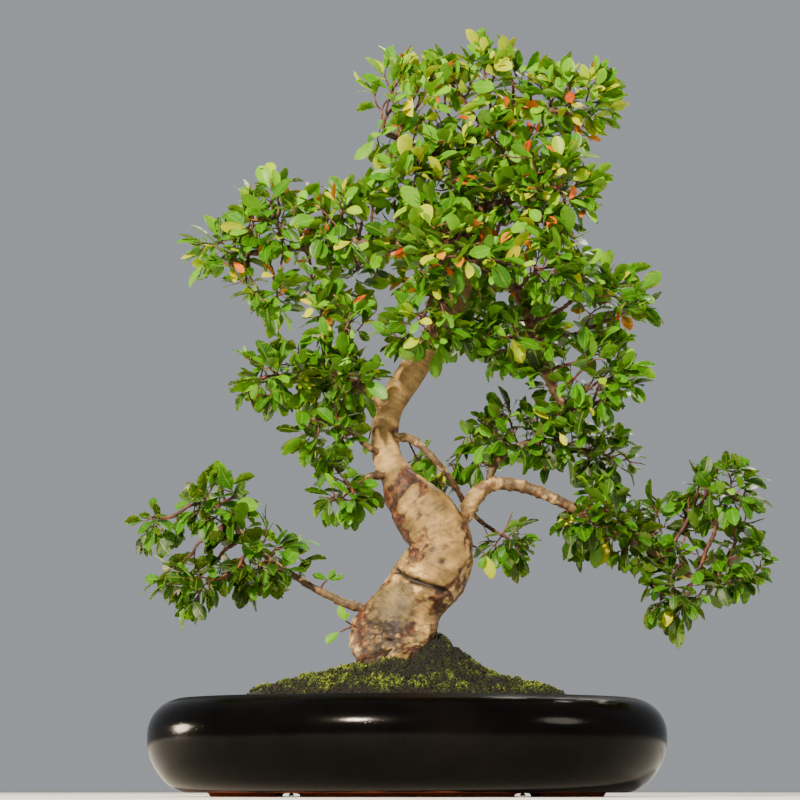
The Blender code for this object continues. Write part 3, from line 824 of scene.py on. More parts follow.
@dataclass
class OvalPot:
    """A low oval bowl whose wall bulges out and turns in to a soft rim.

    Attributes:
        outside: (inset from the widest oval, height) up the outer wall, in millimetres.
        inside: The same, down the inner wall to the floor.
        drain_x: Distance of each drain hole from the middle.
        drain_radius: The drain holes' radius.
        groove_width: Width of the groove under each drain hole.
        foot: Height of the foot, and depth of the grooves.
        around: Points round the oval.
        rows: Points up and down the wall.
        sway: How far the wall strays from a true oval.
        crisp_degrees: Edges that bend more than this stay crisp.
    """

    outside: tuple[tuple[float, float], ...] = (
        (34.6, 0.0), (34.0, 0.6), (33.6, 1.6), (30.0, 2.2), (19.6, 2.5), (11.8, 6.4), (5.8, 13.0),
        (1.8, 21.0), (0.2, 30.0), (0.6, 37.0), (3.4, 43.6), (8.0, 48.4), (14.0, 51.3), (18.6, 52.2),
    )
    inside: tuple[tuple[float, float], ...] = (
        (21.4, 51.8), (23.2, 50.2), (23.2, 48.4), (18.0, 44.2), (12.0, 38.6), (8.6, 31.0), (9.4, 23.0),
        (14.0, 15.6), (21.0, 11.0), (30.0, 9.0),
    )
    drain_x: float = 62.0
    drain_radius: float = 9.0
    groove_width: float = 14.0
    foot: float = 2.0
    around: int = 288
    rows: int = 150
    sway: float = 0.25
    crisp_degrees: float = 35.0

    def profile(self) -> Array:
        """Inset and height along the wall, on the Hermite cubics between its corner points."""
        points = np.array(self.outside + self.inside) * MM
        along = np.concatenate([[0.0], np.cumsum(np.linalg.norm(np.diff(points, axis=0), axis=1))])
        slope = np.gradient(points, along, axis=0)
        wanted = np.linspace(0.0, along[-1], self.rows)
        piece = np.clip(np.searchsorted(along, wanted, side="right") - 1, 0, len(along) - 2)
        length = np.diff(along)[piece][:, None]
        t = (wanted - along[piece])[:, None] / length
        start, end = points[piece], points[piece + 1]
        curve = (2 * t**3 - 3 * t**2 + 1) * start + (t**3 - 2 * t**2 + t) * length * slope[piece]
        curve += (3 * t**2 - 2 * t**3) * end + (t**3 - t**2) * length * slope[piece + 1]
        curve[:, 1] = np.maximum(curve[:, 1], 0.0)
        return curve

    def surface(self) -> Surface:
        """Point (i, k): the widest oval less inset i, at angle k and height i, less up to the sway."""
        low, high = (np.array(corner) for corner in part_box("pot"))
        half = (high - low) / 2.0
        profile = self.profile()
        angle = ring_angles(self.around)
        x = (half[0] - profile[:, :1]) * np.cos(angle)
        y = (half[1] - profile[:, :1]) * np.sin(angle)
        z = np.broadcast_to(profile[:, 1:] * (half[2] * 2.0) / profile[:, 1].max(), x.shape)
        points = np.stack([x, y, z], axis=-1)
        sway = self.sway * MM * soft_noise(points, 45 * MM, 5)[..., None] * ease(0.003, 0.012, z)[..., None]
        outward = np.stack([np.cos(angle), np.sin(angle), np.zeros_like(angle)], axis=-1)[None]
        points = points - np.abs(sway) * outward
        ring = np.arange(self.around)
        last = ring + (len(profile) - 1) * self.around
        quads = grid_quads(len(profile), self.around)
        return Surface(points.reshape(-1, 3), [quads, ring[None, ::-1], last[None]])

    def build(self) -> None:
        """Makes the bowl, cuts its drain holes and grooves, and glazes it."""
        pot = self.surface().build("oval_pot")
        half_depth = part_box("pot")[1][1]
        for side, x in (("left", -self.drain_x), ("right", self.drain_x)):
            path = np.array([[x, 0.0, -5.0, self.drain_radius], [x, 0.0, 20.0, self.drain_radius]]) * MM
            hole = tube(path, 64).build(f"drain_{side}")
            groove = self.groove(x * MM, half_depth).build(f"groove_{side}")
            for cutter in (hole, groove):
                self.cut(pot, cutter)
        pot.data.shade_smooth()
        pot.data.set_sharp_from_angle(angle=math.radians(self.crisp_degrees))
        settle(pot, BlackGlaze(), ["pot"])

    def groove(self, x: float, half_depth: float) -> Surface:
        """The channel's space: a bar with a low rounded top that runs across the whole foot."""
        angle = np.linspace(0.0, math.pi, 13)
        side = np.cos(angle) * self.groove_width / 2 * MM
        top = np.sin(angle) ** 0.35 * self.foot * MM
        outline = np.concatenate([np.stack([side, top], 1), [[side[-1], -0.005], [side[0], -0.005]]])
        ends = [np.stack([x + outline[:, 0], np.full(len(outline), y), outline[:, 1]], 1)
                for y in (half_depth, -half_depth)]
        ring = np.arange(len(outline))
        faces = [grid_quads(2, len(outline)), ring[None, ::-1], ring[None] + len(outline)]
        return Surface(np.concatenate(ends), faces)

    @staticmethod
    def cut(pot: bpy.types.Object, cutter: bpy.types.Object) -> None:
        """Cuts one solid out of the pot for good."""
        modifier = pot.modifiers.new("cut", "BOOLEAN")
        modifier.object = cutter
        graph = bpy.context.evaluated_depsgraph_get()
        graph.update()
        cut_mesh = bpy.data.meshes.new_from_object(pot.evaluated_get(graph))
        pot.modifiers.clear()
        pot.data = cut_mesh
        bpy.data.objects.remove(cutter, do_unlink=True)


# ---------------------------------------------------------------- what fills the pot


@dataclass
class Mound:
    """The planted mound's surface: a level with a wide hill and a steep one at the trunk.

    Attributes:
        level: Height at the mound's far edge, in millimetres.
        hills: Each hill's x, y, height, spread along x and spread along y, in millimetres.
    """

    level: float = 47.0
    hills: tuple[tuple[float, ...], ...] = ((9.0, 3.0, 21.0, 18.5, 22.0), (-4.0, 0.0, 20.0, 62.0, 38.0))

    def height(self, x: Array, y: Array) -> Array:
        """Level plus each hill's height * exp(-dx^2 / 2 sx^2 - dy^2 / 2 sy^2), in metres."""
        total = np.full(np.broadcast(x, y).shape, self.level * MM)
        for cx, cy, tall, wide, deep in self.hills:
            dx, dy = (x / MM - cx) / wide, (y / MM - cy) / deep
            total = total + tall * MM * np.exp(-0.5 * (dx * dx + dy * dy))
        return total


@dataclass
class MossCover:
    """Cushion moss over the mound, its lumps in the mesh and its sprigs standing out of them.

    Attributes:
        mound: The surface under it.
        rings: Rings from the middle to the edge.
        around: Points round each ring.
        lump: Width of one cushion, in millimetres.
        relief: Height of one cushion, in millimetres.
        tuft_relief: Height of a tuft, which gathers several cushions, in millimetres.
        sunk: How far the moss's lowest places lie under the mound, in millimetres.
        skirt: How far the cover's edge reaches down, in millimetres.
        sprigs: How many sprigs stand on it.
        sprig_length: A sprig's length, in millimetres.
        reach: How much of its solid's breadth it covers.
        shaded: The middle of its brown patch under the trunk's lean, in millimetres: a painted shadow, with
            thinner moss.
        seed: Start of its random numbers.
    """

    mound: Mound
    rings: int = 170
    around: int = 440
    lump: float = 3.9
    relief: float = 2.5
    tuft_relief: float = 3.0
    sunk: float = 1.6
    skirt: float = 3.5
    sprigs: int = 23000
    sprig_length: float = 1.35
    reach: float = 0.87
    shaded: Array = field(default_factory=lambda: np.array([14.0, -24.0, 72.0]))
    seed: int = 11

    def raised(self, x: Array, y: Array) -> tuple[Array, Array]:
        """The moss's points and their greenness.

        The height is the mound's, plus domes 1 - d^2 in random cells, plus layered noise; a value
        from 0 to 1 is high on the domes and where larger noise says that the moss thrives.
        """
        high = self.reach * np.array(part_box("moss")[1])
        base = self.mound.height(x, y)
        points = np.stack([x, y, base], axis=-1)
        near, next_near = cell_distances(points, self.lump * MM, self.seed)
        dome = np.clip(1.0 - near * near * 1.6, 0.0, 1.0)
        swell = layered_noise(points, 13 * MM, self.seed + 3)
        fine = layered_noise(points, 1.5 * MM, self.seed + 4, 2)
        patchy = layered_noise(points, 17 * MM, self.seed + 5, 4)
        thrive = 0.08 + 0.92 * ease(-0.42, 0.40, patchy + 0.30 * ease(0.1, 0.9, np.hypot(x, y) / (90 * MM)))
        # Painted shadow: the moss turns brown round this spot under the trunk's lean.
        thrive *= 1.0 - 0.68 * bell(points, self.shaded * MM, 14 * MM)
        reach = np.hypot(x / high[0], y / high[1])
        edge = 1.0 - ease(0.90, 1.0, reach + 0.10 * swell)
        tuft, tuft_next = cell_distances(points, 2.4 * self.lump * MM, self.seed + 6)
        mass = np.clip(1.0 - tuft * tuft * 1.5, 0.0, 1.0)
        rise = self.relief * dome * (0.45 + 0.55 * thrive) + self.tuft_relief * mass
        rise = rise + 1.4 * swell + 0.6 * fine
        rise = (rise - self.sunk) * edge
        points[..., 2] = base + rise * MM - (1.0 - edge) * self.sunk * MM
        # Dark earth between the cushions, with painted shade: the colour drops to near black at their low
        # edges.
        crack = ease(0.02, 0.25, next_near - near) * (0.35 + 0.65 * ease(0.02, 0.22, tuft_next - tuft))
        green = np.clip(0.08 + 0.60 * thrive * dome * crack + 0.18 * mass * thrive + 0.24 * fine, 0.0, 1.0)
        return points, green * (0.45 + 0.55 * edge)

    def cover(self) -> Surface:
        """A domed disc: rings of points from the middle out, a skirt, and a flat base under it."""
        high = self.reach * np.array(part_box("moss")[1])
        x, y = disc_rings(self.rings, self.around, high)
        points, green = self.raised(x.ravel(), y.ravel())
        middle, middle_green = self.raised(np.zeros(1), np.zeros(1))
        foot = points[-self.around :].copy()
        foot[:, 2] -= self.skirt * MM
        below = foot.mean(axis=0)[None]
        total = np.concatenate([points, middle, foot, below])
        values = np.concatenate([green, middle_green, np.zeros(self.around + 1)])
        ring = np.arange(self.around)
        after = (ring + 1) % self.around
        hub, foot_start = len(points), len(points) + 1
        outer = (self.rings - 1) * self.around
        fan = np.stack([np.full(self.around, hub), ring, after], axis=1)
        skirt = np.stack([outer + ring, foot_start + ring, foot_start + after, outer + after], axis=1)
        base = np.stack([np.full(self.around, len(total) - 1), foot_start + after, foot_start + ring], axis=1)
        quads = grid_quads(self.rings, self.around)[:, ::-1]
        return Surface(total, [quads, fan, skirt, base], {"green": values})

    def sprig_field(self) -> Surface:
        """Short leaning spindles, each an eight-sided double pyramid, rooted on the cover."""
        random = np.random.default_rng(self.seed)
        high = self.reach * np.array(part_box("moss")[1])
        base, green = self.raised(*strewn(random, (0.0, 0.98), high, self.sprigs))
        keep = green > 0.09
        base, green = base[keep], green[keep]
        lean = unit(np.array([0.0, 0.0, 1.3]) + random.normal(0.0, 0.55, (len(base), 3)))
        length = self.sprig_length * MM * random.uniform(0.6, 1.3, (len(base), 1))
        thick = length * 0.33
        across = unit(np.cross(lean, random.normal(size=(len(base), 3))))
        second = np.cross(lean, across)
        waist = base + lean * length * 0.45
        corners = [base - lean * length * 0.2, waist + across * thick, waist + second * thick,
                   waist - across * thick, waist - second * thick, base + lean * length]
        points = np.stack(corners, axis=1)
        shape = np.array(
            [(0, 2, 1), (0, 3, 2), (0, 4, 3), (0, 1, 4), (5, 1, 2), (5, 2, 3), (5, 3, 4), (5, 4, 1)])
        faces = (np.arange(len(base))[:, None, None] * 6 + shape).reshape(-1, 3)
        tint = np.clip(1.15 * green + random.uniform(-0.20, 0.34, len(base)), 0.0, 1.0)
        tints = np.stack([tint * 0.3] + [tint * 0.75] * 4 + [tint], axis=1)
        return Surface(points.reshape(-1, 3), [faces], {"green": tints.ravel()})

    def build(self) -> None:
        """Makes the cover, which stands for the moss's solid, and its sprigs."""
        cover = self.cover().build("moss_cover")
        settle(cover, CushionMoss(), ["moss"])
        sprigs = self.sprig_field().build("moss_sprigs", sharp_degrees=50)
        settle(sprigs, CushionMoss())


@dataclass
class PottingSoil:
    """Dark granular soil: a rough bed up to the wall, and loose crumbs on it.

    Attributes:
        mound: The planted surface; the bed lies under it.
        rings: Rings from the bed's middle to its edge.
        around: Points round each ring.
        shoulder: How far inside its solid the bed's top ends, in millimetres.
        wall: (inset, height) down the bed's side from there, in millimetres.
        under: How far the bed lies under the mound, in millimetres.
        highest: The bed's greatest height, before its roughness, in millimetres.
        crumbs: How many crumbs lie on the bed round the moss.
        seed: Start of its random numbers.
    """

    mound: Mound
    rings: int = 70
    around: int = 320
    shoulder: float = 15.6
    wall: tuple[tuple[float, float], ...] = ((9.4, 40.0), (1.4, 34.0), (0.4, 30.0), (1.4, 23.0), (6.0, 16.0))
    under: float = 5.0
    highest: float = 60.0
    crumbs: int = 1500
    seed: int = 23

    def bed_height(self, x: Array, y: Array) -> Array:
        """The mound, lowered and cut off at the top, and roughened by domes 2.6 mm across."""
        points = np.stack([x, y, np.zeros_like(x)], axis=-1)
        near, _ = cell_distances(points, 2.6 * MM, self.seed)
        rough = 0.9 * MM * np.clip(1.0 - near * near * 1.5, 0.0, 1.0)
        rough = rough + 0.8 * MM * soft_noise(points, 12 * MM, 3)
        return np.minimum(self.mound.height(x, y) - self.under * MM, self.highest * MM) + rough

    def build(self) -> None:
        """Makes the bed, which stands for the soil's solid, and the crumbs."""
        half = np.array(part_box("soil")[1])
        top_half = half[:2] - self.shoulder * MM
        x, y = disc_rings(self.rings, self.around, top_half)
        angle = ring_angles(self.around)
        top = np.stack([x, y, self.bed_height(x.ravel(), y.ravel()).reshape(x.shape)], axis=-1)
        walls = [np.stack([(half[0] - inset * MM) * np.cos(angle), (half[1] - inset * MM) * np.sin(angle),
                           np.full(self.around, z * MM)], axis=-1) for inset, z in self.wall]
        grid = np.concatenate([top, np.stack(walls)])
        ring = np.arange(self.around)
        floor = ring[None, ::-1] + (len(grid) - 1) * self.around
        faces = [grid_quads(len(grid), self.around)[:, ::-1], ring[None], floor]
        bed = Surface(grid.reshape(-1, 3), faces).build("soil_bed")
        settle(bed, BARE_SOIL, ["soil"])
        crumbs = self.crumb_field(top_half).build("soil_crumbs")
        settle(crumbs, SOIL_CRUMB)

    def crumb_field(self, half: Array) -> Surface:
        """Rounded crumbs of 14 corners, squashed and turned at random, on the bed's outer part."""
        random = np.random.default_rng(self.seed)
        x, y = strewn(random, (0.52, 0.99), half, self.crumbs)
        base = np.stack([x, y, self.bed_height(x, y)], axis=-1)
        size = random.gamma(4.0, 0.32, (self.crumbs, 1, 1)).clip(0.5, 2.6) * MM
        turn = np.linalg.qr(random.normal(size=(self.crumbs, 3, 3)))[0]
        ball, faces = pebble_shape()
        squash = random.uniform(0.65, 1.1, (self.crumbs, 1, 3))
        bumps = 1.0 + 0.12 * random.normal(size=(self.crumbs, len(ball), 1))
        points = np.einsum("nvk,nkj->nvj", ball[None] * squash * bumps, turn) * size + base[:, None]
        turned = np.linalg.det(turn) < 0.0
        all_faces = np.arange(self.crumbs)[:, None, None] * len(ball) + faces
        all_faces[turned] = all_faces[turned][:, :, ::-1]
        return Surface(points.reshape(-1, 3), [all_faces.reshape(-1, 3)])


def pebble_shape() -> tuple[Array, Array]:
    """A rounded cube of 14 corners and 24 triangles: eight corners and six raised face middles."""
    corners = np.array(list(itertools.product((-1.0, 1.0), repeat=3)))
    middles = np.concatenate([np.eye(3), -np.eye(3)])
    points = np.concatenate([unit(corners), middles])
    faces = []
    for k, middle in enumerate(middles):
        ring = np.where(corners @ middle > 0.5)[0]
        first = unit(np.cross(middle, np.roll(middle, 1)))
        second = np.cross(middle, first)
        turn = np.argsort(np.arctan2(corners[ring] @ second, corners[ring] @ first))
        ring = ring[turn]
        faces += [(8 + k, a, b) for a, b in zip(ring, np.roll(ring, -1))]
    return points, np.array(faces)


# ---------------------------------------------------------------- the wood


@dataclass(frozen=True)
class Mark:
    """One feature of the trunk's bark.

    Attributes:
        spot: Its place in millimetres, near the surface.
        spread: Its size in millimetres.
        lift: How far it stands out, or sinks in where negative, in millimetres.
        flake: How much rust-coloured flaking it brings.
        scar_and_shade: How dark it is.
    """

    spot: tuple[float, float, float]
    spread: float
    lift: float = 0.0
    flake: float = 0.0
    scar_and_shade: float = 0.0


@dataclass(frozen=True)
class Stroke:
    """One long feature of the trunk's bark, such as a fold, a scar or a root that shows.

    Attributes:
        places: Its course in millimetres, which is moved onto the skin.
        width: Its half width in millimetres.
        lift: How far it stands out, or sinks in where negative, in millimetres.
        flake: How much rust-coloured flaking it brings.
        scar_and_shade: How dark it is.
    """

    places: tuple[tuple[float, float, float], ...]
    width: float
    lift: float = 0.0
    flake: float = 0.0
    scar_and_shade: float = 0.0


@dataclass
class Trunk:
    """The S-curved trunk: one surface with its root flare, folds, knots, cracks and flaked plates.

    Attributes:
        stem: Its centreline, as rows of x, y, z and radius in metres.
        along: Stations on it.
        around: Points round each station.
        marks: Its named features, from the root crown up.
        strokes: Its long features, the dark fold across the lower front first.
    """

    stem: Array
    along: int = 640
    around: int = 132
    marks: tuple[Mark, ...] = (
        Mark((-27, -8, 92), 4.5, 2.6, 0.3),
        Mark((-29, -2, 82), 4.0, 2.2, 0.4),
        Mark((-24, -14, 78), 4.2, 2.4, 0.5),
        Mark((-16, -20, 74), 4.5, 2.0, 0.5),
        Mark((-4, -21, 73), 5.0, 2.2, 0.4),
        Mark((8, -19, 78), 5.0, 1.8, 0.5),
        Mark((14, -14, 90), 3.6, 2.0, 0.6),
        Mark((-21, -15, 100), 2.6, -1.2, 0.1, 0.3),
        Mark((-9, -22, 88), 4.0, 1.0, 0.0, 0.5),
        Mark((-26, 6, 88), 5.0, 2.2, 0.3),
        Mark((6, 20, 82), 6.0, 2.0, 0.3),
        Mark((-12, 21, 96), 5.5, 1.6, 0.2),
        Mark((19, -21, 124), 1.5, -1.0, 0.0, 1.2),
        Mark((10, -21, 133), 1.0, -0.5, 0.0, 0.8),
        Mark((22, -22, 139), 1.2, 0.4, 0.0, 0.5),
        Mark((28, 2, 112), 6.0, 1.2, 0.9),
        Mark((20, -12, 104), 6.0, 0.8, 0.8),
        Mark((-6, -12, 152), 5.0, 1.4, 0.25),
        Mark((-12, -8, 160), 4.0, 1.8, 0.7),
        Mark((0, -15, 163), 5.0, 0.8, 0.3),
        Mark((-3, -10, 171), 4.0, 0.9, 0.6),
        Mark((6, -14, 168), 2.0, 0.6, 0.5, 0.5),
        Mark((6, -14, 126), 6.0, 0.4, 0.3),
        Mark((-10, -6, 191), 5.0, 0.6, 0.5),
        Mark((24, 12, 140), 7.0, 1.0, 0.7),
        Mark((-4, 12, 160), 6.0, 1.2, 0.8),
        Mark((8, 14, 120), 6.0, 1.0, 0.5),
    )
    strokes: tuple[Stroke, ...] = (
        Stroke(((-6, -14, 121), (-1, -20, 116.5), (5, -20, 113.5), (12, -20, 111.5), (20, -18, 109)),
               1.1, -3.2, 0.1, 1.5),
        Stroke(((-2, -20, 113), (7, -20, 109.5), (16, -20, 107)), 2.6, 1.3, 0.75),
        Stroke(((3, -20, 169), (-3, -20, 162), (-8, -18, 156), (-12, -10, 151)), 1.4, -0.8, 1.0, 0.75),
        Stroke(((10, -20, 165), (4, -20, 157), (-2, -20, 149)), 1.2, -0.5, 0.9, 0.45),
        Stroke(((3, -20, 175), (-4, -18, 170), (-9, -12, 165)), 1.8, 0.3, 0.8, 0.30),
        Stroke(((-12, -10, 152), (-6, -14, 144), (0, -16, 137), (4, -16, 130)), 2.0, 0.4, 1.0, 0.15),
        Stroke(((27, -16, 110), (22, -18, 105), (15, -20, 100)), 3.0, 0.3, 0.9, 0.25),
        Stroke(((33, -8, 132), (31, -12, 121), (26, -14, 112)), 2.4, 0.2, 0.9),
        Stroke(((2, -20, 101), (9, -20, 104), (17, -20, 106)), 1.2, 0.0, 0.8, 0.35),
        Stroke(((-22, -16, 93), (-12, -20, 91), (0, -20, 92)), 1.3, -0.5, 0.0, 0.75),
        Stroke(((-19, -18, 89), (-9, -20, 87), (3, -20, 89)), 1.1, -0.4, 0.0, 0.65),
        Stroke(((-6, -22, 76), (1, -24, 76.5), (8, -22, 74)), 1.6, 2.4, 1.0),
        Stroke(((14, 18, 150), (6, 20, 138), (-4, 18, 128)), 2.4, -0.5, 1.0, 0.35),
        Stroke(((24, 16, 126), (14, 20, 116), (2, 20, 112)), 1.4, -2.0, 0.4, 0.9),
    )

    def surface(self) -> Surface:
        """The traced tube, its skin moved along the spokes by the sum of all features, in millimetres.

        The sum is broad lumps, root lobes low down, marks as bells, strokes as long grooves and
        ridges, flaked plates as steps of thresholded noise, and fine cracks across.
        """
        path = smoothed(resample(self.rooted_path(), self.along), 12)
        base = tube(path, self.around)
        points = base.points.reshape(self.along, self.around, 3)
        spokes = unit(points - path[:, None, :3])
        flat, outward = points.reshape(-1, 3), spokes.reshape(-1, 3)
        radius = np.repeat(path[:, 3], self.around) / MM
        height = np.repeat(path[:, 2], self.around) / MM
        girth = np.clip(radius / 16.0, 0.12, 1.0)
        angle = np.arctan2(outward[:, 1], outward[:, 0])
        low = np.exp(-np.clip(height - 62.0, 0.0, None) / 13.0)
        lift = girth * (1.5 * layered_noise(flat, 19 * MM, 31, 3) + 0.6 * layered_noise(flat, 5 * MM, 32, 3))
        lift += low * (1.6 + 2.2 * np.cos(5.0 * angle + 2.0 * soft_noise(flat, 30 * MM, 33)))
        lift += low * 1.9 * layered_noise(flat, 6 * MM, 34, 4)
        flake, scar_and_shade = np.zeros(len(flat)), np.zeros(len(flat))
        spots = self.on_skin(flat, np.array([mark.spot for mark in self.marks]) * MM)
        # A mark or stroke that sinks in and darkens is painted shade in its hollow as well as a scar.
        for mark, spot in zip(self.marks, spots):
            near_mark = bell(flat, spot, mark.spread * MM)
            lift += mark.lift * near_mark
            flake += mark.flake * near_mark**0.64
            scar_and_shade += mark.scar_and_shade * near_mark**1.56
        for stroke in self.strokes:
            along_stroke = self.stroked(flat, stroke)
            lift += stroke.lift * along_stroke
            flake += stroke.flake * along_stroke**0.6
            scar_and_shade += stroke.scar_and_shade * along_stroke
        side = np.abs(outward[:, 0]) ** 2
        rusty = layered_noise(flat, 9 * MM, 35, 5) + 0.28 * layered_noise(flat, 2.2 * MM, 45, 2)
        rusty += 0.60 * flake + 0.36 * side - 0.48 + 0.42 * ease(112.0, 98.0, height)
        rusty -= 0.75 * ease(188.0, 212.0, height)
        plate = ease(-0.10, 0.14, rusty)
        across = flat * np.array([0.45, 0.45, 1.6])
        crack = ease(0.10, 0.0, np.abs(soft_noise(across, 2.6 * MM, 36)))
        crack = crack * ease(-0.1, 0.35, soft_noise(flat, 9 * MM, 37))
        step = ease(-0.02, 0.03, rusty)
        flaky = 0.5 * step * layered_noise(flat, 2.4 * MM, 38, 3)
        lift += girth * (0.50 * (1.0 - step) - 0.3 * crack + flaky)
        mottled = 0.55 * layered_noise(flat, 5 * MM, 39, 4)
        near, beyond = cell_distances(flat, 4.4 * MM, 47)
        knobbly = ease(98.0, 84.0, height + 7.0 * soft_noise(flat, 12 * MM, 48))
        knobbly = np.maximum(knobbly, ease(0.80, 1.0, side) * ease(110.0, 96.0, height))
        lift += 1.5 * knobbly * (np.clip(1.0 - 1.5 * near * near, 0.0, 1.0) - 0.4)
        crevice = knobbly * ease(0.16, 0.02, beyond - near)
        # Darker towards the soil, on the knobbly roots, and on the thin leader up in the crown, where the
        # darkening is painted shade under the leaves.
        dirt_and_shade = ease(0.20, 0.80, 0.55 * ease(92.0, 66.0, height) + 0.30 * knobbly + mottled)
        dirt_and_shade = np.maximum(dirt_and_shade, ease(7.0, 4.6, radius) * (0.9 + mottled))
        worn_spot = self.on_skin(flat, np.array([[-9.0, -20.0, 101.0]]) * MM)[0]
        wound = ease(0.34, 0.56, bell(flat, worn_spot, 11.0 * MM) + 0.16 * mottled)
        olive = 0.78 * wound + ease(0.05, 0.60, mottled + 0.15) * (0.30 + 0.35 * ease(124.0, 112.0, height))
        olive *= ease(205.0, 175.0, height)
        peel = ease(0.22, 0.45, layered_noise(flat, 5 * MM, 46, 3) - 0.12 + 0.22 * side)
        peel = peel * ease(150.0, 108.0, height)
        woody = sum(bell(flat, spot, 0.8 * mark.spread * MM)
                    for mark, spot in zip(self.marks, spots) if mark.lift > 2.1)
        peel += 0.9 * ease(0.0, 0.4, woody + mottled - 0.40)
        # Painted shade: the fine cracks, the shaded edges of the flaked plates and the crevices between the
        # knobbly lumps are darkened together with the scars.
        scar_and_shade = np.clip(scar_and_shade + 0.50 * crack + 0.42 * self.rim(rusty) + 0.95 * crevice, 0.0, 1.0)
        moved = flat + outward * (lift * MM)[:, None]
        run = np.repeat(np.linspace(0.0, self.stem_length(path), self.along), self.around)
        values = {"flake": plate * (1.0 - wound), "scar_and_shade": scar_and_shade, "dirt_and_shade": np.clip(dirt_and_shade * 0.9, 0.0, 1.0),
                  "olive": np.clip(olive, 0.0, 0.85), "peel": np.clip(peel * (1.0 - wound), 0.0, 0.85),
                  "run": run, **self.skin(outward, radius)}
        return Surface(moved, base.faces, values)

    @staticmethod
    def rim(rusty: Array) -> Array:
        """A thin line where a plate's edge casts its shade."""
        return ease(-0.09, -0.03, rusty) * ease(0.05, 0.0, rusty)

    @staticmethod
    def stem_length(path: Array) -> float:
        """The path's length in metres."""
        return float(np.linalg.norm(np.diff(path[:, :3], axis=0), axis=1).sum())

    @staticmethod
    def skin(outward: Array, radius_mm: Array) -> dict[str, Array]:
        """Two values that run round the stem without a seam: the outward direction times the radius."""
        return {"round_x": (outward[:, 0] + 0.3 * outward[:, 2]) * radius_mm * MM,
                "round_y": outward[:, 1] * radius_mm * MM}

    def rooted_path(self) -> Array:
        """The centreline without the buried roots' girth, carried down into the soil."""
        path = self.stem.copy()
        low = path[:, 2] < 74 * MM
        crown = path[~low][0, 3]
        path[low, 3] = np.minimum(path[low, 3], crown * 0.98)
        start = path[0].copy()
        start[2] = min(start[2], 46 * MM)
        return np.concatenate([[start], path])

    @staticmethod
    def on_skin(skin_points: Array, spots: Array) -> Array:
        """For each spot, the skin's point that is nearest to it, depth counting for three tenths."""
        weight = np.array([1.0, 0.3, 1.0])
        nearest = [np.argmin((((skin_points - spot) * weight) ** 2).sum(axis=1)) for spot in spots]
        return skin_points[nearest]

    def stroked(self, points: Array, stroke: Stroke) -> Array:
        """exp(-d^2 / 2 width^2), where d is the distance to the stroke's line on the skin.

        Noise moves the distance by up to half a millimetre, so that the line's edge wanders.
        """
        line = self.on_skin(points, resample(np.array(stroke.places) * MM, 20))
        line = resample(smoothed(line, 3), 36)
        distance = np.full(len(points), 9.0)
        for spot in line:
            distance = np.minimum(distance, np.linalg.norm(points - spot, axis=1))
        distance = np.maximum(distance + 0.5 * MM * soft_noise(points, 3.0 * MM, 49), 0.0)
        return np.exp(-((distance / (stroke.width * MM)) ** 2) / 2)

    def build(self) -> None:
        """Makes the trunk and its bark."""
        piece = self.surface().build("trunk_wood")
        settle(piece, ElmBark(), ["trunk"])


@dataclass
class Branch:
    """One main stem: a tapering tube with a collar where it leaves the trunk, knuckles and cracks.

    Attributes:
        name: The frame's node.
        stem: Its centreline, as rows of x, y, z and radius in metres.
        around: Points round each station.
        knuckle: Spacing of the old bud scars, in millimetres.
    """

    name: str
    stem: Array
    around: int = 28
    knuckle: float = 9.0

    def surface(self) -> Surface:
        """Radius times 1 + collar + knuckles + noise, on a path that wavers by a third of its radius."""
        length = np.linalg.norm(np.diff(self.stem[:, :3], axis=0), axis=1).sum()
        path = smoothed(resample(self.stem, max(24, int(length / (0.9 * MM)))), 10)
        along = np.linspace(0.0, length / MM, len(path))
        sway = np.stack([soft_noise(path[:, :3] + shift, 13 * MM, 41) for shift in (0.0, 0.3, 0.7)], axis=1)
        path[:, :3] += sway * path[:, 3:] * 0.35 * ease(2.0, 12.0, along)[:, None]
        thick = path[0, 3] / MM
        collar = 0.75 * np.exp(-((along / (2.0 * thick + 1.0)) ** 2))
        knots = 0.16 * ease(0.55, 1.0, np.cos(TURN * along / self.knuckle + 2.0 * sway[:, 0]))
        path[:, 3] *= 1.0 + collar + knots
        path[-3:, 3] *= np.array([0.9, 0.7, 0.4])
        base = tube(path, self.around)
        points = base.points.reshape(len(path), self.around, 3)
        outward = unit(points - path[:, None, :3]).reshape(-1, 3)
        flat = base.points
        radius = np.repeat(path[:, 3], self.around)
        rough = 0.13 * layered_noise(flat, 4.5 * MM, 42, 3) + 0.07 * soft_noise(flat, 1.5 * MM, 43)
        rusty = layered_noise(flat, 7 * MM, 44, 4) + 0.02
        plate = ease(-0.10, 0.14, rusty)
        moved = flat + outward * (radius * (rough - 0.04 * plate))[:, None]
        thin = ease(4.2, 1.6, radius / MM)
        mottled = layered_noise(flat, 5 * MM, 39, 4)
        # Here the scar layer is only the painted shade under the plates' edges.
        values = {"flake": plate * 0.8, "scar_and_shade": 0.35 * Trunk.rim(rusty),
                  # Darker on thin stems, and from 0.24 m up in the crown, where the darkening is painted
                  # shade under the leaves.
                  "dirt_and_shade": np.clip(
                      0.34 + 0.50 * thin + 0.5 * mottled + 0.35 * ease(0.24, 0.29, flat[:, 2]), 0.0, 1.0),
                  # Painted shade on the branches' tops: the side facing up turns a darker olive-grey.
                  "olive": 0.35 * ease(0.0, 0.5, outward[:, 2]), "peel": 0.5 * ease(0.25, 0.5, mottled),
                  "run": np.repeat(along * MM, self.around),
                  **Trunk.skin(outward, radius / MM)}
        return Surface(moved, base.faces, values)

    def build(self) -> None:
        """Makes the branch and its bark."""
        piece = self.surface().build(self.name.replace("branch_", "stem_"))
        settle(piece, ElmBark(), [self.name])


# ---------------------------------------------------------------- twigs and leaves


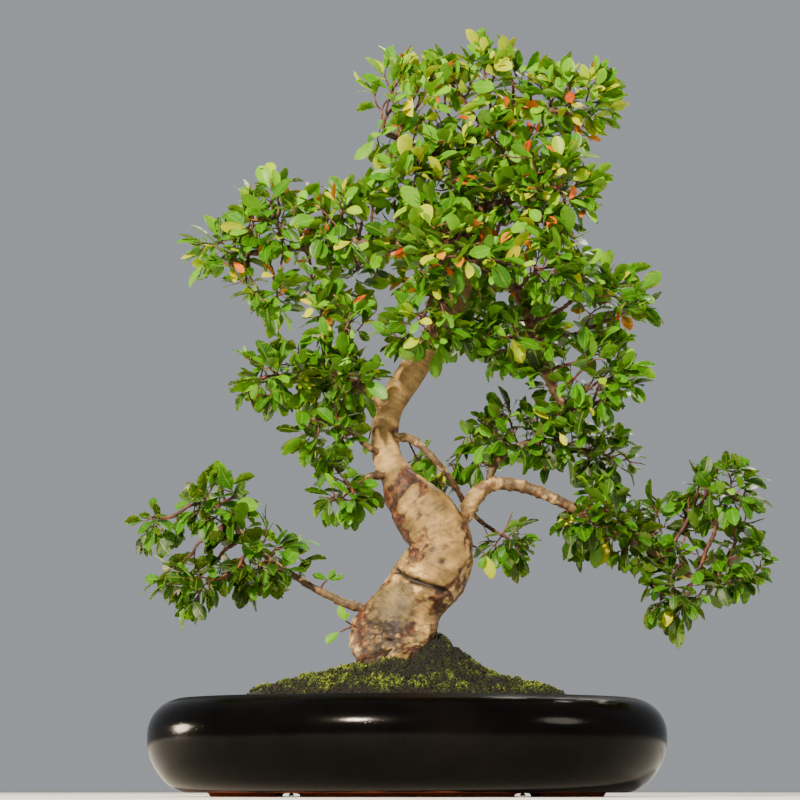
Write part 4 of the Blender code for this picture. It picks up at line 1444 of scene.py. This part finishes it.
@dataclass
class FoliageSpace:
    """The room that one cluster's leaves fill, from the frame.

    Attributes:
        name: The frame's node.
        centre: Its middle, in metres.
        half: Its half sizes, in metres.
    """

    name: str
    centre: Array
    half: Array

    @staticmethod
    def from_frame(nodes: dict[str, bpy.types.Object], swell: float) -> list[FoliageSpace]:
        """Every foliage node's box as an ellipsoid, swollen by a share."""
        spaces = []
        for name in sorted(n for n in nodes if n.startswith("foliage_")):
            low, high = (np.array(corner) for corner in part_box(name))
            spaces.append(FoliageSpace(name, (low + high) / 2, (high - low) / 2 * swell))
        return spaces

    def scatter(self, count: int, random: np.random.Generator) -> Array:
        """Random points all through the ellipsoid."""
        ways = unit(random.normal(size=(count, 3)))
        return self.centre + ways * np.cbrt(random.uniform(0.0, 1.0, (count, 1))) * self.half


@dataclass
class TwigTree:
    """Fine twigs that grow from the stems towards points in the foliage spaces, a step at a time.

    Attributes:
        stems: The centrelines that they start from.
        targets: The points that they grow towards.
        step: Growth in one step, in millimetres.
        catch: A point is reached within this distance, in millimetres.
        rounds: Steps before growth stops.
        tip_radius: Radius of the last segment, in millimetres.
        thickest: Largest radius of a twig, in millimetres.
        sap_power: A joint's radius grows with its tips to this power.
        bare_ends: How many tips carry on as a leafless shoot.
        bare_joints: Joints in such a shoot.
        zigzag: How much each step strays, as a share.
        sides: Points round a twig.
        seed: Start of its random numbers.
        places: Every joint's place, in metres, the stems' own first.
        parents: Every joint's parent, or -1 on a stem.
        bare: Whether the joint bears no leaves.
    """

    stems: Array
    targets: Array
    step: float = 3.5
    catch: float = 4.9
    rounds: int = 110
    tip_radius: float = 0.42
    thickest: float = 1.15
    sap_power: float = 0.40
    bare_ends: int = 80
    bare_joints: int = 3
    zigzag: float = 0.30
    sides: int = 6
    seed: int = 7
    places: Array = field(default_factory=lambda: np.zeros((0, 3)))
    parents: Array = field(default_factory=lambda: np.zeros(0, int))
    bare: Array = field(default_factory=lambda: np.zeros(0, bool))

    def grow(self) -> None:
        """Each round, a joint that is nearest to some targets puts out one more, towards their middle.

        The direction is the mean unit vector to its targets, a little upward pull, and a random
        zigzag. A target is dropped once a joint is within the catch distance.
        """
        random = np.random.default_rng(self.seed)
        self.places = self.stems[:, :3].copy()
        self.parents = np.full(len(self.places), -1)
        live = self.targets
        gaps = np.linalg.norm(live[:, None] - self.places[None], axis=2)
        nearest, distance = gaps.argmin(axis=1), gaps.min(axis=1)
        for _ in range(self.rounds):
            keep = distance > self.catch * MM
            live, nearest, distance = live[keep], nearest[keep], distance[keep]
            if len(live) == 0:
                break
            pull = np.zeros_like(self.places)
            np.add.at(pull, nearest, unit(live - self.places[nearest]))
            active = np.unique(nearest)
            way = unit(pull[active]) + 0.10 * UP + self.zigzag * random.normal(size=(len(active), 3))
            fresh = self.places[active] + self.step * MM * unit(way)
            gaps = np.linalg.norm(live[:, None] - fresh[None], axis=2)
            closer = gaps.min(axis=1) < distance
            nearest = np.where(closer, len(self.places) + gaps.argmin(axis=1), nearest)
            distance = np.minimum(distance, gaps.min(axis=1))
            self.places = np.concatenate([self.places, fresh])
            self.parents = np.concatenate([self.parents, active])
        self.add_bare_ends(random)

    def add_bare_ends(self, random: np.random.Generator) -> None:
        """Carries some tips on by a few joints without leaves, each turned a little from the last."""
        tip = (self.tip_distance() == 0) & (self.parents >= 0)
        last = random.choice(np.where(tip)[0], self.bare_ends, replace=False)
        way = unit(self.places[last] - self.places[self.parents[last]])
        self.bare = np.zeros(len(self.places), bool)
        for _ in range(self.bare_joints):
            way = unit(way + 0.12 * UP + self.zigzag * random.normal(size=way.shape))
            fresh = self.places[last] + 0.95 * self.step * MM * way
            self.parents = np.concatenate([self.parents, last])
            last = len(self.places) + np.arange(self.bare_ends)
            self.places = np.concatenate([self.places, fresh])
            self.bare = np.concatenate([self.bare, np.ones(self.bare_ends, bool)])

    def tips_above(self) -> Array:
        """How many tips each joint carries, in one backward pass, as children follow their parents."""
        carried = np.zeros(len(self.places))
        has_child = np.zeros(len(self.places), bool)
        has_child[self.parents[self.parents >= 0]] = True
        carried[(~has_child) & (self.parents >= 0)] = 1.0
        for joint in range(len(self.places) - 1, -1, -1):
            if self.parents[joint] >= 0:
                carried[self.parents[joint]] += carried[joint]
        return carried

    def tip_distance(self) -> Array:
        """Steps from each joint to its farthest tip."""
        steps = np.zeros(len(self.places), int)
        for joint in range(len(self.places) - 1, -1, -1):
            parent = self.parents[joint]
            if parent >= 0:
                steps[parent] = max(steps[parent], steps[joint] + 1)
        return steps

    def surface(self) -> Surface:
        """One tapering tube for each run of joints, from its fork to its tip.

        A joint's radius is the tip radius times its tips to the sap power, up to the thickest. Each run
        follows the child that carries most tips, and swells at every joint.
        """
        tips = self.tips_above()
        radius = self.tip_radius * np.maximum(tips, 1.0) ** self.sap_power
        radius = np.minimum(radius, self.thickest) * MM
        heavy = np.full(len(self.places), -1)
        order = np.argsort(tips, kind="stable")
        grown = order[self.parents[order] >= 0]
        heavy[self.parents[grown]] = grown
        starts = [j for j in range(len(self.places)) if self.parents[j] >= 0
                  and (self.parents[self.parents[j]] == -1 or heavy[self.parents[j]] != j)]
        parts = []
        for start in starts:
            run = [self.parents[start], start]
            while heavy[run[-1]] >= 0:
                run.append(heavy[run[-1]])
            rows = np.column_stack([self.places[run], radius[run]])
            rows[0, 3] = rows[1, 3]
            rows[-1, 3] *= 0.6
            path = resample(smoothed(rows, 1), 2 * len(run) - 1)
            path[1::2, 3] *= 0.78
            path[2:-1:2, 3] *= 1.18
            parts.append(tube(path, self.sides))
        return Surface.joined(parts)


@dataclass
class Foliage:
    """The elm's leaves: alternate along the young twigs, each a folded, curved blade with a rippled edge.

    Attributes:
        spaces: The clusters.
        length: A grown leaf's usual length, in millimetres.
        spread: How much lengths vary, as a share.
        light: The way to the brightest light, which leaves turn their faces to.
        leafy_steps: A twig bears leaves this many joints back from its tip.
        ruddy: Share of the crown's youngest leaves that are orange or red.
        golden: Share of them that are pale yellow.
        faded: Share of all other leaves that are pale yellow.
        seed: Start of its random numbers.
        stations: Places along the blade where its rings of points lie.
    """

    spaces: list[FoliageSpace]
    length: float = 12.4
    spread: float = 0.25
    light: tuple[float, float, float] = (-0.35, -0.62, 0.72)
    leafy_steps: int = 6
    ruddy: float = 0.24
    golden: float = 0.035
    faded: float = 0.004
    seed: int = 99
    stations: tuple[float, ...] = (0.0, 0.08, 0.13, 0.20, 0.30, 0.42, 0.55, 0.68, 0.79, 0.88, 0.94, 0.98, 1.0)

    def blade(self) -> tuple[Array, Array, list[Array], Array]:
        """The blade's plan.

        Returns:
            Each corner's place along (0 to 1), its place across (-1 to 1 of the half width, with the
            midrib's two corners at 0), the faces, and the texture coordinates of the face corners.
        """
        rings = len(self.stations)
        along = np.repeat(np.array(self.stations), 4)
        across = np.tile(np.array([-1.0, 0.0, 1.0, 0.0]), rings)
        quads = grid_quads(rings, 4)[:, ::-1]
        ends = [np.array([[0, 1, 2, 3]]), np.array([[3, 2, 1, 0]]) + 4 * (rings - 1)]
        faces = np.concatenate([quads] + ends)
        under = np.zeros(len(faces))
        column = np.tile(np.arange(4), rings - 1)
        under[: len(quads)] = np.isin(column, (2, 3))
        uv = np.stack([along[faces] + 2.0 * under[:, None], 0.5 + 0.5 * across[faces]], axis=-1)
        return along, across, [faces], uv

    def half_width(self, along: Array) -> Array:
        """Half the blade's width as a share of its length: a stalk, then sin(pi u^1.3)^0.57."""
        u = np.clip((along - 0.08) / 0.92, 0.0, 1.0)
        oval = 0.262 * np.clip(np.sin(math.pi * u**1.3), 0.0, 1.0) ** 0.57
        return np.maximum(oval, 0.022)

    def pose(self, tree: TwigTree) -> dict[str, Array]:
        """Where every leaf grows, which way it points and faces, and how large and how old it is."""
        random = np.random.default_rng(self.seed)
        steps, parents = tree.tip_distance(), tree.parents
        joints = np.where((parents >= 0) & (steps < self.leafy_steps) & ~tree.bare)[0]
        places = tree.places[joints]
        centres = np.array([s.centre for s in self.spaces])
        halves = np.array([s.half for s in self.spaces])
        depth = np.linalg.norm((places[:, None] - centres) / halves, axis=2)
        home = depth.argmin(axis=1)
        keep = (depth.min(axis=1) > 0.35) | (random.uniform(size=len(home)) < 0.45)
        joints, places, home = joints[keep], places[keep], home[keep]
        tips = steps[joints] == 0
        twig = unit(places - tree.places[parents[joints]])
        second = np.where(steps[joints] == 1)[0]
        again = np.concatenate([np.arange(len(joints)), np.where(tips)[0], second])
        terminal = np.concatenate([np.zeros(len(joints), bool), np.ones(tips.sum(), bool),
                                   np.zeros(len(second), bool)])
        joints, places, home, twig = joints[again], places[again], home[again], twig[again]
        count = len(joints)
        outward = unit((places - centres[home]) / halves[home] ** 2)
        face = 0.60 * UP + 0.35 * np.array(self.light) + 0.30 * outward
        face = unit(face + 0.50 * random.normal(size=(count, 3)))
        second_leaf = np.arange(count) >= keep.sum()
        side = np.where((joints % 2 == 0) ^ second_leaf, 1.0, -1.0)[:, None]
        lean = unit(np.cross(twig, face)) * side * np.where(terminal, 0.25, 1.0)[:, None]
        rise = np.clip((places[:, 2] / MM - 180.0) / 160.0, -0.5, 1.0)[:, None] * 0.42
        sag = np.clip(-outward[:, 2:], 0.0, 1.0) * 0.50
        way = 0.55 * twig + 0.70 * lean + 0.45 * outward + 0.30 * random.normal(size=(count, 3))
        way = unit(way + (rise - sag) * UP)
        normal = unit(face - (face * way).sum(axis=1, keepdims=True) * way)
        youth = np.clip(1.0 - steps[joints] / 4.0, 0.0, 1.0) * random.uniform(0.0, 1.0, count)
        size = self.length * MM * (1.0 + self.spread * random.normal(size=count)).clip(0.6, 1.35)
        size *= 1.0 - 0.32 * youth
        return {"place": places, "way": way, "normal": normal, "size": size, "youth": youth, "home": home,
                "depth": np.linalg.norm((places - centres[home]) / halves[home], axis=1)}

    def tones(self, pose: dict[str, Array], random: np.random.Generator) -> Array:
        """Each leaf's tone, from 0, deep green, through yellow-green to 1, red.

        It rises with height on the tree and with youth; a few young leaves in the crown are orange or
        red, and a few old ones anywhere are pale yellow.
        """
        height = (pose["place"][:, 2] - 0.1) / 0.32
        count = len(height)
        tone = 0.13 + 0.39 * height + 0.20 * pose["youth"] + 0.14 * random.normal(size=count)
        tone = np.clip(tone, 0.02, 0.72)
        crown = (height > 0.50) & (pose["depth"] > 0.70) & (pose["youth"] > 0.45)
        ruddy = crown & (random.uniform(size=count) < self.ruddy)
        tone = np.where(ruddy, random.uniform(0.84, 1.0, count), tone)
        faded = random.uniform(size=count) < np.where(crown, self.golden, self.faded)
        return np.where(faded, 0.76, tone)

    def leaves(self, pose: dict[str, Array], tone: Array, random: np.random.Generator) -> Surface:
        """All the blades of one pose.

        A corner at s along and t across lies at s * way + t * w(s) * right + rise * normal, all times
        the leaf's size. The rise folds the blade up from its midrib, curves it down to its tip, and
        ripples its edge.
        """
        along, across, faces, uv = self.blade()
        wide = self.half_width(along)
        count = len(tone)
        fold = random.uniform(0.10, 0.55, (count, 1))
        droop = random.uniform(0.02, 0.30, (count, 1))
        twist = random.normal(0.0, 0.12, (count, 1))
        slim = random.uniform(0.86, 1.14, (count, 1))
        y = across * wide * slim
        midrib = np.where(across == 0.0, np.where(np.arange(len(along)) % 4 == 1, 0.011, -0.011), 0.0)
        z = fold * np.abs(y) - droop * along**2 + twist * y * along
        z = z + 0.012 * np.sin(along * 21.0 + across) * np.abs(across) + midrib * (1.0 - 0.6 * along)
        right = np.cross(pose["normal"], pose["way"])
        size = pose["size"][:, None, None]
        points = along[None, :, None] * pose["way"][:, None] + y[..., None] * right[:, None]
        points = pose["place"][:, None] + size * (points + z[..., None] * pose["normal"][:, None])
        block = faces[0]
        numbers = (np.arange(count)[:, None, None] * len(along) + block).reshape(-1, 4)
        tones = np.repeat(tone, len(along))
        coordinates = np.tile(uv.reshape(-1, 2), (count, 1))
        return Surface(points.reshape(-1, 3), [numbers], {"tone": tones}, coordinates)

    def build(self, tree: TwigTree) -> None:
        """Makes one piece of leaves for each cluster, which stands for its solid."""
        random = np.random.default_rng(self.seed + 1)
        pose = self.pose(tree)
        tone = self.tones(pose, random)
        pose["size"] *= np.where(tone > 0.8, 0.90, 1.0)  # red leaves are still growing
        LOG.info("%d leaves", len(tone))
        for number, space in enumerate(self.spaces):
            mine = pose["home"] == number
            part = {key: value[mine] for key, value in pose.items()}
            piece = self.leaves(part, tone[mine], random).build(space.name.replace("foliage", "leaves"), 60)
            settle(piece, ElmLeaf(), [space.name])


@dataclass(frozen=True)
class Sprout:
    """A thin shoot that grows from the wood on its own.

    Attributes:
        stem: Its course in millimetres, from inside the wood.
        leaves: Each end leaf's way, length in millimetres, and tone.
    """

    stem: tuple[tuple[float, float, float], ...]
    leaves: tuple[tuple[tuple[float, float, float], float, float], ...]


@dataclass
class Sprouts:
    """The sucker at the root crown, the shoots on bare wood, and the few leaves that hang alone.

    Attributes:
        foliage: Makes the blades.
        radius: A shoot's radius, in millimetres.
        rows: Stations along a shoot.
        facing: The way that the blades turn their faces to.
        shoots: Each shoot.
    """

    foliage: Foliage
    radius: float = 0.5
    rows: int = 9
    facing: tuple[float, float, float] = (-0.25, -0.85, 0.45)
    shoots: tuple[Sprout, ...] = (
        Sprout(((-24, -8, 90), (-30, -9, 91.5), (-33, -10, 93.5)),
               (((-0.4, -0.3, 0.85), 8.5, 0.60), ((0.2, -0.8, 0.5), 6.5, 0.55))),
        Sprout(((-28, -9, 91), (-33, -10, 89), (-36, -10, 87.5)), (((-0.75, -0.2, -0.6), 10.0, 0.50),)),
        Sprout(((33, -2, 136), (39, -4, 133), (43, -6, 129)),
               (((0.22, -0.15, -0.95), 12.5, 0.70), ((-0.5, -0.2, -0.8), 8.0, 0.40))),
        Sprout(((143, -8, 108), (143, -10, 103), (142.5, -11, 100.5)),
               (((-0.35, -0.25, -0.85), 11.0, 0.74),)),
        Sprout(((78, -4, 199), (81, -9, 197), (83, -11, 195)), (((0.3, -0.3, -0.6), 8.0, 0.75),)),
        Sprout(((-47, 0, 109), (-46, -2, 113.5), (-43, -3, 116)),
               (((0.85, -0.2, 0.25), 9.0, 0.30), ((-0.8, -0.2, 0.3), 8.5, 0.34),
                ((0.5, -0.2, 0.8), 7.0, 0.42))),
        Sprout(((-18, 10, 205), (-20, 16, 200), (-21, 19, 196)), (((-0.2, 0.5, -0.8), 10.0, 0.5),)),
    )

    def build(self) -> None:
        """Makes the shoots' stems and leaves."""
        stems, blades = [], []
        facing = np.array(self.facing)
        radii = self.radius * MM * np.linspace(1.25, 0.8, self.rows)
        for shoot in self.shoots:
            places = resample(np.array(shoot.stem) * MM, self.rows)
            stems.append(tube(np.column_stack([smoothed(places, 2), radii]), 8))
            for way, length, tone in shoot.leaves:
                ahead = unit(np.array(way))
                normal = unit(facing - (facing @ ahead) * ahead)
                blades.append((places[-1], ahead, normal, length * MM, tone))
        wood = Surface.joined(stems).build("sprout_stems")
        settle(wood, TwigBark())
        keys = ("place", "way", "normal", "size", "tone")
        pose = {key: np.array(values) for key, values in zip(keys, zip(*blades))}
        random = np.random.default_rng(self.foliage.seed + 2)
        leaves = self.foliage.leaves(pose, pose["tone"], random).build("sprout_leaves", 60)
        settle(leaves, ElmLeaf())


@dataclass
class Canopy:
    """The twigs and leaves together.

    Attributes:
        skeleton: The main stems.
        nodes: The frame's nodes.
        swell: How much larger than its solid a cluster grows.
        density: Growth targets in a cubic centimetre.
        bud_gap: Twigs start on every so many rows of a stem.
        bare_trunk: Height in metres below which the trunk bears no twigs.
        bare_rows: Rows at a branch's root that bear no twigs.
        least: Growth targets in every room, however small.
        bridges: Pairs of clusters that leaves also fill the room between.
        bridge_size: A bridge's size as a share of its clusters' mean size.
        clothed: Stems that short leafy twigs cover, from one share of their length to another.
        cover: Targets for each traced row of a clothed stem.
        sprays: Middle and half size, in millimetres, of more rooms that twigs fill.
        seed: Start of its random numbers.
    """

    skeleton: Skeleton
    nodes: dict[str, bpy.types.Object]
    swell: float = 0.88
    density: float = 3.3
    bud_gap: int = 4
    bare_trunk: float = 0.23
    bare_rows: int = 4
    least: int = 6
    bridge_size: float = 0.62
    cover: int = 3
    seed: int = 3
    bridges: tuple[tuple[str, str], ...] = (
        ("crown_top_left", "crown_top_centre"), ("crown_top_centre", "crown_top_right"),
        ("crown_top_centre", "crown_upper_right"),
        ("crown_upper_left", "crown_upper_right"), ("crown_upper_left", "shoulder_inner"),
        ("crown_upper_right", "crown_right"), ("crown_upper_left", "crown_front"),
        ("crown_front", "crown_right"), ("crown_right", "right_shoulder"),
        ("crown_low_front", "crown_low_right"), ("crown_front", "crown_low_front"),
        ("right_shoulder", "right_shoulder_low"), ("shoulder_inner", "shoulder_outer"),
        ("shoulder_outer", "shoulder_tip"), ("shoulder_tip", "shoulder_hanging"),
        ("left_middle_top", "left_middle_inner"), ("left_middle_inner", "left_middle_low"),
        ("left_middle_low", "left_middle_drop"), ("left_middle_inner", "left_middle_tip"),
        ("centre_right", "outer_centre_right"), ("outer_centre_right", "right_inner"),
        ("right_inner", "right_middle"), ("right_middle", "right_outer"), ("right_outer", "right_tip"),
        ("right_tip", "right_drop"), ("lower_left_top", "lower_left_tip"),
        ("lower_left_inner", "lower_left_low"),
    )
    clothed: tuple[tuple[str, float, float], ...] = (
        ("trunk", 0.66, 1.0), ("branch_shoulder", 0.08, 1.0), ("branch_right_hanging", 0.15, 1.0),
        ("branch_top_left", 0.1, 1.0), ("branch_crown_right", 0.2, 1.0), ("branch_crown_front", 0.3, 1.0),
        ("branch_left_middle", 0.35, 1.0), ("branch_lower_left", 0.55, 1.0), ("branch_right", 0.60, 1.0),
        ("branch_centre_right", 0.40, 1.0), ("branch_crown_back", 0.3, 1.0),
    )

    sprays: tuple[tuple[tuple[float, ...], tuple[float, ...]], ...] = (
        ((20.0, 18.0, 180.0), (25.0, 9.0, 10.0)), ((46.0, 16.0, 190.0), (14.0, 9.0, 9.0)),
    )

    def cover_targets(self, random: np.random.Generator) -> Array:
        """Points 5 to 17 mm from the clothed stems' skins, more of them in front and above."""
        found = []
        for name, start, end in self.clothed:
            stem = self.skeleton.stems[name]
            rows = np.repeat(stem[int(start * len(stem)) : int(end * len(stem))], self.cover, axis=0)
            ways = unit(random.normal(size=(len(rows), 3)) + np.array([0.0, -0.55, 0.30]))
            away = rows[:, 3:] + random.uniform(5.0, 17.0, (len(rows), 1)) * MM
            found.append(rows[:, :3] + ways * away)
        return np.concatenate(found)

    def build(self) -> None:
        """Grows the twigs into the clusters and puts the leaves on them."""
        random = np.random.default_rng(self.seed)
        spaces = FoliageSpace.from_frame(self.nodes, self.swell)
        named = {space.name.removeprefix("foliage_"): space for space in spaces}
        rooms = list(spaces)
        for first, second in self.bridges:
            pair = (named[first], named[second])
            centre = (pair[0].centre + pair[1].centre) / 2
            rooms.append(FoliageSpace("", centre, self.bridge_size * (pair[0].half + pair[1].half) / 2))
        for middle, half in self.sprays:
            rooms.append(FoliageSpace("", np.array(middle) * MM, np.array(half) * MM))
        targets = [self.cover_targets(random)]
        for space in rooms:
            volume = 4.0 / 3.0 * math.pi * np.prod(space.half / (10 * MM))
            targets.append(space.scatter(int(self.density * volume) + self.least, random))
        stems = []
        for name, stem in self.skeleton.stems.items():
            bearing = stem[stem[:, 2] > self.bare_trunk] if name == "trunk" else stem[self.bare_rows :]
            stems.append(bearing[:: self.bud_gap])
            stems.append(bearing[-1:])
        tree = TwigTree(np.concatenate(stems), np.concatenate(targets))
        tree.grow()
        twigs = tree.surface().build("fine_twigs")
        settle(twigs, TwigBark())
        foliage = Foliage(spaces)
        foliage.build(tree)
        Sprouts(foliage).build()


# ---------------------------------------------------------------- the studio


@dataclass
class Studio:
    """A pale floor, soft lights and the camera.

    Attributes:
        camera_at: The camera's place in metres, just above the floor in front.
        tilt_degrees: How far it looks up.
        lens: Its focal length in millimetres.
        sensor: Its sensor's width in millimetres.
        lamps: Each lamp's name, place, size, power in watts and hex colour.
        aim: What the lamps point at.
        floor_half: Half the floor's side, in metres.
        sky: The world's hex colour and strength.
    """

    camera_at: tuple[float, float, float] = (-0.00375, -1.4, 0.004)
    tilt_degrees: float = 8.57
    lens: float = 116.2
    sensor: float = 36.0
    aim: tuple[float, float, float] = (0.0, 0.0, 0.2)
    floor_half: float = 6.0
    sky: tuple[str, float] = ("#e6ebf1", 0.42)
    lamps: tuple[tuple[str, tuple[float, float, float], float, float, str], ...] = (
        ("key", (-0.50, -1.50, 1.05), 0.15, 99.0, "#fff0d4"),
        ("side", (-1.5, 0.28, 0.28), 0.34, 40.0, "#ffe9cc"),
        ("fill", (1.5, -0.8, 0.9), 0.5, 9.0, "#fff2e0"),
        ("back", (0.60, 1.00, 1.35), 0.7, 26.0, "#fff8ee"),
    )

    def build(self) -> None:
        """Sets the floor, world, lamps and camera."""
        corners = np.array([[-1, -1, 0], [1, -1, 0], [1, 1, 0], [-1, 1, 0]], float) * self.floor_half
        floor = Surface(corners - 0.00005 * UP, [np.array([[0, 1, 2, 3]])]).build("floor")
        PALE_FLOOR.dress(floor)
        world = bpy.data.worlds.new("studio")
        world.use_nodes = True
        ground = world.node_tree.nodes["Background"]
        ground.inputs["Color"].default_value = colour(self.sky[0])
        ground.inputs["Strength"].default_value = self.sky[1]
        bpy.context.scene.world = world
        for name, place, size, power, code in self.lamps:
            lamp = bpy.data.lights.new(name, "AREA")
            lamp.shape = "DISK"
            lamp.size = size
            lamp.energy = power
            lamp.color = colour(code)[:3]
            holder = bpy.data.objects.new(name, lamp)
            holder.location = place
            aim = np.array(self.aim) - np.array(place)
            holder.rotation_euler = (
                math.acos(-aim[2] / np.linalg.norm(aim)), 0.0, math.atan2(-aim[0], aim[1]))
            bpy.context.scene.collection.objects.link(holder)
        lens = bpy.data.cameras.new("camera")
        lens.lens = self.lens
        lens.sensor_width = self.sensor
        camera = bpy.data.objects.new("camera", lens)
        camera.location = self.camera_at
        camera.rotation_euler = (math.radians(90.0 + self.tilt_degrees), 0.0, 0.0)
        bpy.context.scene.collection.objects.link(camera)
        bpy.context.scene.camera = camera


def dress_hidden_parts(nodes: dict[str, bpy.types.Object]) -> None:
    """Gives the drainage layer, screens and clips, whose solids are right as they are, their finishes."""
    PUMICE.dress(nodes["drainage_gravel"])
    for side in ("left", "right"):
        MESH_PLASTIC.dress(nodes[f"drain_screen_{side}"])
        DRAWN_WIRE.dress(nodes[f"screen_clip_{side}"])


def main() -> None:
    """Builds every sub-assembly round the frame."""
    logging.basicConfig(level=logging.INFO, format="%(message)s")
    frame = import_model()
    nodes = frame["nodes"]
    Studio().build()
    OvalPot().build()
    mound = Mound()
    PottingSoil(mound).build()
    MossCover(mound).build()
    dress_hidden_parts(nodes)
    skeleton = Skeleton.from_frame(nodes)
    Trunk(skeleton.stems["trunk"]).build()
    for name, stem in skeleton.stems.items():
        if name != "trunk":
            Branch(name, stem).build()
    Canopy(skeleton, nodes).build()


if __name__ == "__main__":
    main()
